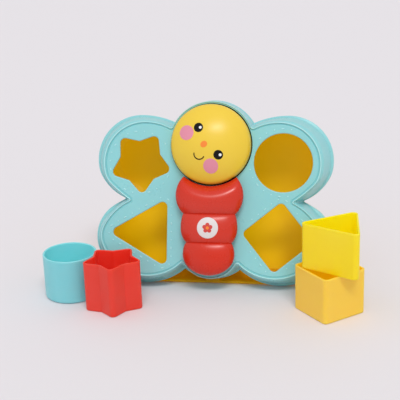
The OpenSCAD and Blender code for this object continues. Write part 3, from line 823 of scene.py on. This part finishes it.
def mark_places():
    """Centre, size and turn of each mark that falls on clear plate; every third is a dash."""
    edge = outline(CREST, 4.6)
    margins = [shape.loop(-2.2) + np.array(centre) for shape, centre in HOLES]
    out = []
    for hole in HOLES:
        shape, centre = hole
        path = STAR_MARKS.loop() if hole is STAR_HOLE else shape.loop(-MARK_OFFSET)
        path = np.vstack([path, path[:1]])
        lengths = np.linalg.norm(np.diff(path, axis=0), axis=1)
        run = np.concatenate([[0], np.cumsum(lengths)])
        count = int(run[-1] // MARK_PITCH)
        for k in range(count):
            at = run[-1] * (k + MARK_START) / count
            i = min(int(np.searchsorted(run, at)) - 1, len(lengths) - 1)
            side = path[i + 1] - path[i]
            place = path[i] + side * (at - run[i]) / lengths[i] + np.array(centre)
            if abs(place[0]) < 36 or np.linalg.norm(place - HEAD_CENTRE) < 45:
                continue
            if not inside(edge, place[None])[0]:
                continue
            if any(inside(margin, place[None])[0] for margin in margins):
                continue
            out.append((place, DASH if k % 3 == 0 else DOT, heading(side)))
    return out


def raise_mark(builder, centre, size, turn):
    """Low pillow on the face."""
    length, width = size
    rows = 4
    ring = circle(20, -1)
    ends = np.where(ring[:, 0] >= 0, 1, -1) * (length - width) / 2
    rings = []
    for j in range(rows):
        angle = j / rows * math.pi / 2
        points = ring * (width / 2) * math.cos(angle)
        points[:, 0] += ends
        z = FACE_Z - MARK_SINK + (MARK_HEIGHT + MARK_SINK) * math.sin(angle)
        rings.append(builder.points(lift(rotate(points, turn) + centre, z)))
    builder.closed_stack(rings)


def raised_marks():
    """The marks and a thin strip over the crest of the border bead; both carry the paler painted
    highlight.
    """
    marks = Builder()
    for place in mark_places():
        raise_mark(marks, *place)
    crest = []
    for radius, angle in CREST_SECTION:
        border = CREST_CENTRE[0] + radius * math.cos(math.radians(angle))
        height = CREST_CENTRE[1] + radius * math.sin(math.radians(angle))
        crest.append(marks.points(lift(outline(border), height)))
    marks.bands((crest + crest[:1])[::-1])
    return marks


# ------------------------------------------------------------------ tray

# from the underside round the rim to the inside: inset from the outline, height,
# world height of the floor cut, y of the top cut, corner radius
TRAY_WALL = [
    (16, -36, 4.4, 152.8, 0), (13, -36, 0.8, 156, 4), (7.4, -32.8, 0.8, 162, 5),
    (4.4, -27, 0.8, 165.2, 6), (2.6, -3.2, 0.8, 168, 0.4), (0, -2.4, 0.8, 168, 0.6),
    (0, -0.2, 0.8, 168, 0.5), (4.8, -0.2, 2.8, 165.2, 0.5), (6.4, -26, 2.8, 163, 4),
    (9.2, -31.4, 2.8, 160, 4), (14.4, -34, 2.8, 154.5, 3), (16, -34, 4.4, 152.8, 0)]


def tray_outline(inward, z, floor_cut, top_cut):
    """Butterfly outline cut flat at the top and along the floor."""
    points = outline(0, inward)
    floor_y = (floor_cut - z * SIN_LEAN) / COS_LEAN
    top = (np.abs(points[:, 0]) < 38) & (points[:, 1] > top_cut)
    points[top, 1] = top_cut
    bottom = (points[:, 1] < 45) & (np.abs(points[:, 0]) < 60.7)
    points[bottom, 1] = floor_y
    points[:, 1] = np.maximum(points[:, 1], floor_y)
    return points


def tray_profile():
    """The wall with its corners rounded; the cuts blend along each corner."""
    places = [np.array(row[:2], float) for row in TRAY_WALL]
    cuts = [np.array(row[2:4], float) for row in TRAY_WALL]
    out = []
    for i, row in enumerate(TRAY_WALL):
        if row[4] <= 0:
            out.append(row[:4])
            continue
        length_in = np.linalg.norm(places[i - 1] - places[i])
        length_out = np.linalg.norm(places[i + 1] - places[i])
        arc = corner_arc(places[i - 1], places[i], places[i + 1], row[4],
                         longest_cut=min(length_in, length_out) * 0.48)
        start = cuts[i] + (cuts[i - 1] - cuts[i]) * arc.cut / length_in
        end = cuts[i] + (cuts[i + 1] - cuts[i]) * arc.cut / length_out
        steps = arc_steps(arc, 0.8, 3)
        for j in range(steps + 1):
            t = j / steps
            cut = start * (1 - t) ** 2 + cuts[i] * 2 * t * (1 - t) + end * t * t
            place = arc.centre + arc.radius * direction(arc.first + arc.sweep * t)
            out.append((*place, *cut))
    return out


def tray():
    body = Builder()
    rings = [body.points(lift(tray_outline(*row), row[1])) for row in tray_profile()]
    body.bands(rings[::-1])
    body.fill(rings[0], flip=True)
    body.fill(rings[-1])
    return body


def tray_fittings(body):
    hinge_barrel(body, -13.6, 13.6)
    body.box((-12.6, 166.0, -8.4), (12.6, 173.2, -1.8))
    # snap tab at the tail
    body.box((-7, 2.4, -8), (7, 13.2, -0.5))
    body.box((-6, 11.4, -4), (6, 13.2, 5.6), 0.5)


def foot(body):
    """Standing pad under the tray, drawn upright and laid back into the plate's frame."""
    pad = Builder()
    shape = Shape([(-34, -13.5), (34, -13.5), (34, 13.5), (-34, 13.5)], [4.0], 8)
    rows = [(0.6, 0.0), (0.15, 0.15), (0, 0.6), (0, 2.4)]    # inset, height
    pad.closed_stack([pad.points(lift(shape.loop(d)[::-1], z)) for d, z in rows])
    body.add(pad, lay_back)


# ------------------------------------------------------------------ body cover

BODY_WIDTH, BODY_TOP, BODY_WAIST = 33.6, 46.0, 35.0    # half width, crown height, waist height
NECK_CROWN = BODY_TOP - 4.2

# y of start, widest place and end; half width; its share left at start and end; crown heights
Bulge = namedtuple("Bulge", "start widest end half_width start_share end_share "
                            "crown start_crown end_crown")
TAIL_BULGE = Bulge(11.3, 32.2, 43.6, BODY_WIDTH * 0.764, 0.0, 0.877,
                   BODY_TOP - 1, BODY_WAIST - 2, NECK_CROWN)
MIDDLE_BULGE = Bulge(43.6, 58.2, 72, BODY_WIDTH * 0.838, 0.804, 0.917,
                     BODY_TOP, NECK_CROWN, NECK_CROWN)
HEAD_BULGE = Bulge(72, 90.5, 113, BODY_WIDTH, 0.771, 0.62,
                   BODY_TOP + 0.6, NECK_CROWN, BODY_TOP - 8)
BULGES = [TAIL_BULGE, MIDDLE_BULGE, HEAD_BULGE]
BULGE_STEPS = (40, 36, 90)

HOLLOW_RADIUS = 41.3     # the cover is hollowed round the head to this
HOLLOW_SOFTNESS = 1.1
ROLL_LENGTH = 15.0       # the crown rolls over towards the head along this
ROLL_LOW = 31.5          # and down to this height


def swell(s, edge, fullness=0.8):
    """Round profile from 1 at s = 0 to edge at s = 1."""
    drop = 1 - math.sqrt(max(0.0, 1 - (fullness * s) ** 2))
    return 1 - (1 - edge) * drop / (1 - math.sqrt(max(0.0, 1 - fullness * fullness)))


def bulge_section(bulge, t):
    """y, half width and crown height at a part t of a bulge."""
    y = bulge.start + (bulge.end - bulge.start) * (1 - math.cos(math.pi * t)) / 2
    if y < bulge.widest:
        s = (bulge.widest - y) / (bulge.widest - bulge.start)
        share, low = bulge.start_share, bulge.start_crown
        if bulge is TAIL_BULGE:
            taper = math.sqrt(max(0.0, 1 - s * s))
            return y, max(bulge.half_width * taper, 0.05), low + (bulge.crown - low) * taper
    else:
        s = (y - bulge.widest) / (bulge.end - bulge.widest)
        share, low = bulge.end_share, bulge.end_crown
    return y, bulge.half_width * swell(s, share), low + (bulge.crown - low) * swell(s, 0, 0.985)


SIDE_COUNT, CROWN_COUNT = 9, 61    # points up each side and over the crown of a section
UNDERCUT = 0.48                    # how far the sides curve in at the foot


def cover_section(y, width, crown):
    """Closed ring: up the right side, over the crown, down the left and back underneath."""
    rise = max(crown - BODY_WAIST, 0.4)
    foot_z = FACE_Z + 0.05

    def side(sign, q):
        return (sign * width * math.sqrt(1 - (UNDERCUT * q) ** 2), y,
                BODY_WAIST + (foot_z - BODY_WAIST) * q)

    ring = [side(1, q) for q in np.linspace(1, 0.12, SIDE_COUNT)]
    for a in np.radians(np.linspace(0, 180, CROWN_COUNT)):
        ring.append((width * math.cos(a), y, BODY_WAIST + rise * math.sin(a)))
    ring += [side(-1, q) for q in np.linspace(0.12, 1, SIDE_COUNT)]
    for a in np.radians(np.linspace(177, 3, CROWN_COUNT - 2)):
        ring.append((width * math.sqrt(1 - UNDERCUT ** 2) * math.cos(a), y, foot_z))
    return ring


def hollow_for_head(grid):
    """Pulls the points back to an arc round the head and rolls the crown down towards it."""
    x = np.clip(np.abs(grid[..., 0]), 0, HOLLOW_RADIUS - 0.01)
    arc = HEAD_CENTRE[1] - np.sqrt(HOLLOW_RADIUS * HOLLOW_RADIUS - x * x)
    beyond, soft = grid[..., 1] - arc, HOLLOW_SOFTNESS
    blend = -(soft - beyond) ** 2 / (4 * soft)
    grid[..., 1] = arc + np.where(beyond > soft, 0.0, np.where(beyond < -soft, beyond, blend))
    t = np.clip(1 - (arc - grid[..., 1]) / ROLL_LENGTH, 0, 1)
    z = grid[..., 2]
    rolled = ROLL_LOW + (z - ROLL_LOW) * np.sqrt(1 - 0.97 * t * t)
    grid[..., 2] = np.where(z > ROLL_LOW, rolled, z)


def body_cover():
    cover = Builder()
    rows = []
    for i, (bulge, steps) in enumerate(zip(BULGES, BULGE_STEPS)):
        for k in range(0 if i == 0 else 1, steps + 1):
            rows.append(cover_section(*bulge_section(bulge, k / steps)))
    grid = np.array(rows)
    hollow_for_head(grid)
    ids = cover.points(grid).reshape(grid.shape[:2])
    row_count, count = ids.shape
    for i in range(row_count - 1):
        for j in range(count - 1):
            cover.face(ids[i, j], ids[i, j + 1], ids[i + 1, j + 1], ids[i + 1, j])
    # close the rings, the tail and the curved wall that faces the head
    for i in range(row_count - 1):
        cover.face(ids[i, 0], ids[i + 1, 0], ids[i + 1, -1], ids[i, -1])
    cover.face(*ids[0][::-1])
    last = list(ids[-1])
    for k in range(1, CROWN_COUNT - 2):
        cover.face(last[SIDE_COUNT + k], last[SIDE_COUNT + 1 + k],
                   last[count - 1 - k], last[count - k])
    cover.face(*last[:SIDE_COUNT + 2], last[-1])
    cover.face(*last[SIDE_COUNT + CROWN_COUNT - 2:2 * SIDE_COUNT + CROWN_COUNT + 1])
    return cover


def on_body(x, y, rise):
    """A point raised above the body's crown."""
    height = 0.0
    for bulge in BULGES:
        if bulge.start <= y <= bulge.end:
            t = math.acos(1 - 2 * (y - bulge.start) / (bulge.end - bulge.start)) / math.pi
            _, width, crown = bulge_section(bulge, t)
            if abs(x) < width:
                height = BODY_WAIST + (crown - BODY_WAIST) * math.sqrt(1 - (x / width) ** 2)
    return x, y, height + rise


# ------------------------------------------------------------------ badge

BADGE_CENTRE = np.array([0.0, 58.6])
BADGE_RADIUS, BADGE_RISE = 10.4, 0.35
PETAL_RING, PETAL_RADIUS, HEART_RADIUS = 3.1, 2.0, 1.55


def ellipse(half_width, half_height, count=56):
    return circle(count, -1) * (half_width, half_height)


def badge():
    """Thin disc that follows the body."""
    disc = Builder()
    rows = [(BADGE_RADIUS, -0.9), (BADGE_RADIUS, 0.05), (BADGE_RADIUS - 0.1, 0.22),
            (BADGE_RADIUS - 0.35, BADGE_RISE)]
    rows += [(BADGE_RADIUS * k, BADGE_RISE) for k in (0.85, 0.68, 0.5, 0.34, 0.17)]
    rings = []
    for radius, rise in rows:
        loop = BADGE_CENTRE + circle(72, -1) * radius
        rings.append(disc.points([on_body(x, y, rise) for x, y in loop]))
    disc.bands(rings)
    disc.fan(rings[-1], on_body(*BADGE_CENTRE, BADGE_RISE))
    disc.fan(rings[0], on_body(*BADGE_CENTRE, -1.4), flip=True)
    return disc


def badge_print(centres, radius, rise, thickness):
    """Thin round patches that follow the badge."""
    ink = Builder()
    sunk, top = rise - 0.12, rise + thickness
    for centre in centres:
        rings = []
        for scale, level in [(1.0, sunk), (1.0, top), (0.66, top), (0.33, top)]:
            loop = centre + ellipse(radius, radius, 28) * scale
            rings.append(ink.points([on_body(x, y, level) for x, y in loop]))
        ink.bands(rings)
        ink.fan(rings[-1], on_body(*centre, top))
        ink.fan(rings[0], on_body(*centre, sunk), flip=True)
    return ink


# ------------------------------------------------------------------ head

HEAD_RADIUS, HEAD_WAIST, HEAD_TOP = 39.7, 31.0, 51.0
EDGE_RADIUS = 9.0                                   # rounding between crown and side
EDGE_CENTRE = HEAD_RADIUS - EDGE_RADIUS
DOME_HEIGHT = HEAD_TOP - HEAD_WAIST
CROWN_RADIUS = ((EDGE_CENTRE ** 2 + DOME_HEIGHT ** 2 - EDGE_RADIUS ** 2)
                / (2 * (DOME_HEIGHT - EDGE_RADIUS)))
CROWN_Z = HEAD_TOP - CROWN_RADIUS
SPLIT = math.atan2(HEAD_WAIST - CROWN_Z, EDGE_CENTRE)    # angle where crown and edge arcs meet
SPLIT_RADIUS = EDGE_CENTRE + EDGE_RADIUS * math.cos(SPLIT)
HEAD_BASE_Z = FACE_Z + 1.4
SKIRT_Z = 22.6
HEAD_WALL = 2


def dome(offset):
    """Profile of the dome from its pole to the waist, moved out by offset."""
    crown, edge = CROWN_RADIUS + offset, EDGE_RADIUS + offset
    out = [(crown * math.cos(a), CROWN_Z + crown * math.sin(a))
           for a in np.linspace(math.pi / 2, SPLIT, 26, endpoint=False)]
    out += [(EDGE_CENTRE + edge * math.cos(a), HEAD_WAIST + edge * math.sin(a))
            for a in np.linspace(SPLIT, 0, 18)]
    out[0] = (0.0, out[0][1])
    return out


def head_dome():
    head = Builder()
    outer, inner = dome(0), dome(-HEAD_WALL)
    skirt_in, rebate = HEAD_RADIUS - 2.4, HEAD_RADIUS - 4.8
    side = fillet(
        [outer[-1], (HEAD_RADIUS, SKIRT_Z), (skirt_in, SKIRT_Z), (skirt_in, HEAD_BASE_Z + 0.4),
         (rebate, HEAD_BASE_Z + 0.4), (rebate, HEAD_BASE_Z + 2.6),
         (HEAD_RADIUS - HEAD_WALL, HEAD_BASE_Z + 2.6), inner[-1]],
        [0, 0.7, 0.5, 0.3, 0.3, 0.3, 0.3, 0], closed=False, step=0.5)
    head.lathe(outer[:-1] + [tuple(p) for p in side[:-1]] + inner[::-1], HEAD_CENTRE, 192)
    return head


# The face is drawn about the head's middle and turned with the head.
FACE_TURN = -53.0
INK_SUNK, INK_PROUD = -0.15, 0.16
FACE_SHIFT = -1.9            # x of the middle of the eyes and nose
EYE_SPACING, CHEEK_SPACING = 16.5, 20.2
SMILE_CENTRE, SMILE_RADIUS, SMILE_WIDTH = (2.9, -13.1), 5.2, 0.55    # width is half the strip's
SMILE_START, SMILE_SWEEP = 218, 172


def on_dome(x, y, rise):
    """A point of the face raised from the dome along its normal."""
    radius = math.hypot(x, y)
    if radius <= SPLIT_RADIUS:
        height = math.sqrt(CROWN_RADIUS ** 2 - radius * radius)
        z, slope = CROWN_Z + height, radius / height
    else:
        height = math.sqrt(EDGE_RADIUS ** 2 - (radius - EDGE_CENTRE) ** 2)
        z, slope = HEAD_WAIST + height, (radius - EDGE_CENTRE) / height
    upright = 1 / math.sqrt(1 + slope * slope)
    if radius > 1e-6:
        x, y = (c + c / radius * slope * upright * rise for c in (x, y))
    return (*(HEAD_CENTRE + rotate((x, y), FACE_TURN)), z + upright * rise)


def ink_patch(ink, centre, loop, sunk=INK_SUNK, proud=INK_PROUD, ring_count=5):
    """Printed patch that is domed with the face."""
    rows = [(1, sunk), (1, proud - 0.04), (0.985, proud)]    # scale, rise
    rows += [(1 - k / ring_count, proud) for k in range(1, ring_count)]
    rings = [ink.points([on_dome(centre[0] + x * scale, centre[1] + y * scale, rise)
                         for x, y in loop]) for scale, rise in rows]
    ink.bands(rings)
    ink.fan(rings[-1], on_dome(*centre, proud))
    ink.fan(rings[0], on_dome(*centre, sunk), flip=True)


def mouth():
    """The smile: a bent strip with round ends."""
    ink = Builder()
    rows, count = [], 48
    for i in range(count + 1):
        ray = direction(SMILE_START + SMILE_SWEEP * i / count)
        from_end = min(i, count - i)
        width = SMILE_WIDTH * math.sqrt(max(0.02, 1 - max(0, 1 - from_end / 3.0) ** 2))
        rows.append([SMILE_CENTRE + (SMILE_RADIUS + width * q) * ray
                     for q in (1, 0.5, 0, -0.5, -1)])
    top = ink.points([on_dome(*p, INK_PROUD - (0.05 if j in (0, 4) else 0))
                      for row in rows for j, p in enumerate(row)]).reshape(count + 1, 5)
    low = ink.points([on_dome(*p, INK_SUNK) for row in rows for p in row]).reshape(count + 1, 5)
    for i in range(count):
        for j in range(4):
            ink.face(top[i, j], top[i + 1, j], top[i + 1, j + 1], top[i, j + 1])
            ink.face(low[i, j + 1], low[i + 1, j + 1], low[i + 1, j], low[i, j])
    edge = [(i, 0) for i in range(count + 1)] + [(count, j) for j in range(1, 5)]
    edge += [(i, 4) for i in range(count - 1, -1, -1)] + [(0, j) for j in range(3, 0, -1)]
    for a, b in zip(edge, edge[1:] + edge[:1]):
        ink.face(top[a], low[a], low[b], top[b])
    return ink


def face_prints():
    eyes, shine, cheeks, nose = Builder(), Builder(), Builder(), Builder()
    for side in (-1, 1):
        ink_patch(eyes, (side * EYE_SPACING + FACE_SHIFT, 1.4), ellipse(4.6, 4.6))
        ink_patch(shine, (side * EYE_SPACING - 0.8, 2.9), ellipse(1.4, 1.4, 32),
                  sunk=0.10, proud=0.24, ring_count=2)
        ink_patch(cheeks, (side * CHEEK_SPACING - 1.4, -11.2), ellipse(7.25, 7.25, 72),
                  proud=0.14, ring_count=6)
    ink_patch(nose, (FACE_SHIFT, -3.7), ellipse(3.0, 3.5))
    make("eyes_shape", eyes, INK_BLACK, "head", "eye_prints")
    make("eye_shine_shape", shine, INK_WHITE, "head", "eye_highlights")
    make("cheeks_shape", cheeks, INK_PINK, "head", "cheek_prints")
    make("nose_shape", nose, INK_ORANGE, "head", "nose_print")
    make("mouth_shape", mouth(), INK_BROWN, "head", "mouth_print")


# ------------------------------------------------------------------ blocks

BLOCK_WALL = 1.8
BLOCK_HEIGHT, STAR_BLOCK_HEIGHT = 44.8, 49.5
# the inner floor and walls below get the painted glow
BLOCK_GLOW_FLOOR = 12      # upward faces lower than this above the block's foot are its inner floor


def cup(shape, height, bottom_radius, step):
    """Hollow block, open at the top, with a rolled rim and a soft bottom edge."""
    block = Builder()
    wall = BLOCK_WALL
    under_edge, floor_edge = 6.0, 7.0
    profile = fillet([(under_edge, 0.0), (0, 0), (0, height), (wall, height), (wall, wall),
                      (floor_edge, wall)],
                     [0, bottom_radius, 0.55, 0.55, 1.2, 0], closed=False, step=step)
    rings = [block.points(lift(shape.loop(max(d, 0.0))[::-1], z)) for d, z in profile]
    block.bands(rings[::-1])
    middle = block.points(lift(shape.loop(under_edge)[::-1] * 0.5, 0.0))
    block.bands([rings[0], middle])
    block.fan(middle, (0, 0, 0.0))
    middle = block.points(lift(shape.loop(floor_edge)[::-1] * 0.5, wall))
    block.bands([middle, rings[-1]])
    block.fan(middle, (0, 0, wall), flip=True)
    return block


def make_block(name, shape, place, turn, outside, inside_glow,
               height=BLOCK_HEIGHT, base=0.0, bottom_radius=1.4, step=0.22):
    """Block stood on the world's floor, or at base above it; place and sizes in mm."""
    def set_down(points):
        return lift(rotate(points, turn) + place, points[:, 2] + base) * 0.001

    ob = make(name + "_shape", cup(shape, height, bottom_radius, step), outside, name,
              name, place=set_down)
    paint_block_inside(ob, place, inside_glow, base + BLOCK_GLOW_FLOOR)


# ------------------------------------------------------------------ put together

shell_mesh = front_shell()
hinge_ears(shell_mesh)
shell_ob = make("front_shell_shape", shell_mesh, TURQUOISE, "front",
                "front_shell")
# raised marks and bead crest strip, coloured with the painted highlight
make("raised_marks_shape", raised_marks(), PAINTED_HIGHLIGHT_TURQUOISE, "front")

tray_mesh = tray()
tray_fittings(tray_mesh)
foot(tray_mesh)
tray_ob = make("tray_shape", tray_mesh, AMBER, "tray", "tray")

cover_ob = make("body_cover_shape", body_cover(), RED, "front", "body_cover",
                sharp=50)
make("badge_shape", badge(), WHITE, "front", "badge_label")
petals = [BADGE_CENTRE + direction(90 + 72 * k) * PETAL_RING for k in range(5)]
make("badge_flower_petals", badge_print(petals, PETAL_RADIUS, rise=0.36, thickness=0.12),
     INK_RED, "front")
make("badge_flower_heart",
     badge_print([BADGE_CENTRE], HEART_RADIUS, rise=0.40, thickness=0.16),
     INK_ORANGE, "front")

make("head_dome_shape", head_dome(), YELLOW, "head", "head_dome")
face_prints()

make_block("circle_block", Disc(26.65, 144), place=(-137.9, -51.6), turn=0,
           outside=BLOCK_TURQUOISE, inside_glow=TURQUOISE_GLOW_IN, bottom_radius=3.0, step=0.35)
make_block("star_block", Shape(inset(STAR_CORNERS, 1.2), [4.4, 2.5], 12),
           place=(-89.0, -75.7), turn=5.3, outside=BLOCK_RED, inside_glow=RED_GLOW_IN,
           height=STAR_BLOCK_HEIGHT)
make_block("square_block", Shape(square(48.5, 85), [4.5], 12),
           place=(118.9, -70.5), turn=0, outside=STRAW, inside_glow=STRAW_GLOW_IN)
# the triangle stands on the square
make_block("triangle_block", Shape(triangle(65.5, 180), [4.5], 14),
           place=(126.5, -72.8), turn=1.9, outside=LEMON, inside_glow=LEMON_GLOW_IN, base=BLOCK_HEIGHT)

# the front of the tray's back wall gets the painted glow and painted pools of light
paint_tray_floor(tray_ob, AMBER_PAINTED_GLOW, top=-28.0)
paint_head_gap(shell_ob, SHADE_TURQUOISE, inner=GROOVE_IN - 0.4, outer=GROOVE_OUT + 0.08,
               top=FACE_Z - 0.02, bottom=GROOVE_Z - 0.3)
paint_head_gap(cover_ob, SHADE_RED, inner=38.0, outer=41.42, top=32.6)

# pieces of the frame that are kept as they are
FRAME_LOOKS = {
    "hinge_pin": STEEL, "body_screws": STEEL, "head_washer": STEEL, "head_screw": STEEL,
    "mechanism_screws": STEEL, "head_base": YELLOW, "click_ring": WHITE,
    "click_spring": WHITE, "mechanism_cover": WHITE}
for name, look in FRAME_LOOKS.items():
    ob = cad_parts[name]
    if len(ob.material_slots) == 0:
        ob.data.materials.append(look)
    for slot in ob.material_slots:
        slot.material = look

# ------------------------------------------------------------------ stage

FLOOR_HALF = 9.0


def make_floor():
    mesh = bpy.data.meshes.new("floor")
    corners = [(x * FLOOR_HALF, y * FLOOR_HALF, 0)
               for x, y in ((-1, -1), (1, -1), (1, 1), (-1, 1))]
    mesh.from_pydata(corners, [], [(0, 1, 2, 3)])
    floor = bpy.data.objects.new("floor", mesh)
    bpy.context.scene.collection.objects.link(floor)
    paper = bpy.data.materials.new("floor_paper")
    paper.use_nodes = True
    inputs = paper.node_tree.nodes["Principled BSDF"].inputs
    inputs["Base Color"].default_value = rgb(228, 225, 229)
    inputs["Roughness"].default_value = 0.75
    inputs["Specular IOR Level"].default_value = 0.25
    mesh.materials.append(paper)


def make_world():
    world = bpy.data.worlds.new("soft_room")
    bpy.context.scene.world = world
    world.use_nodes = True
    background = world.node_tree.nodes["Background"]
    background.inputs["Color"].default_value = (1.0, 0.99, 1.0, 1)
    background.inputs["Strength"].default_value = 0.68


def sun(name, toward, strength, angle, colour):
    """Wide soft light; toward points from the toy to it, angle is its spread in degrees."""
    light = bpy.data.lights.new(name, "SUN")
    light.energy = strength
    light.angle = math.radians(angle)
    light.color = colour
    ob = bpy.data.objects.new(name, light)
    bpy.context.scene.collection.objects.link(ob)
    ob.rotation_euler = (-Vector(toward)).to_track_quat("-Z", "Y").to_euler()


def make_windows():
    """Three soft suns in front of the toy, fanned out to its right (+X)."""
    elevation = math.radians(54)
    for k, turn in enumerate((0, 14, 28)):
        turn = math.radians(turn)
        toward = (math.sin(turn) * math.cos(elevation), -math.cos(turn) * math.cos(elevation),
                  math.sin(elevation))
        sun("window_%d" % k, toward, strength=0.46, angle=12, colour=(1.0, 0.99, 0.98))


# angles in radians, place in metres
CAMERA_AZIMUTH, CAMERA_ELEVATION, CAMERA_ROLL = 0.154574, 0.340725, -0.034788
CAMERA_PLACE = (0.135386, -0.952423, 0.425313)


def make_camera():
    azimuth, elevation, roll = CAMERA_AZIMUTH, CAMERA_ELEVATION, CAMERA_ROLL
    back = np.array([math.sin(azimuth) * math.cos(elevation),
                     -math.cos(azimuth) * math.cos(elevation), math.sin(elevation)])
    level = np.array([math.cos(azimuth), math.sin(azimuth), 0.0])
    upright = np.cross(back, level)
    right = level * math.cos(roll) + upright * math.sin(roll)
    up = -level * math.sin(roll) + upright * math.cos(roll)
    data = bpy.data.cameras.new("camera")
    data.sensor_width = 36.0
    data.lens = 91.134
    data.clip_start, data.clip_end = 0.01, 30.0
    camera = bpy.data.objects.new("camera", data)
    bpy.context.scene.collection.objects.link(camera)
    rows = [(right[i], up[i], back[i], CAMERA_PLACE[i]) for i in range(3)]
    camera.matrix_world = Matrix((*rows, (0, 0, 0, 1)))
    bpy.context.scene.camera = camera


make_floor()
make_world()
make_windows()
make_camera()
view = bpy.context.scene.view_settings
view.view_transform = "Standard"
view.look = "None"
view.exposure = 0.0
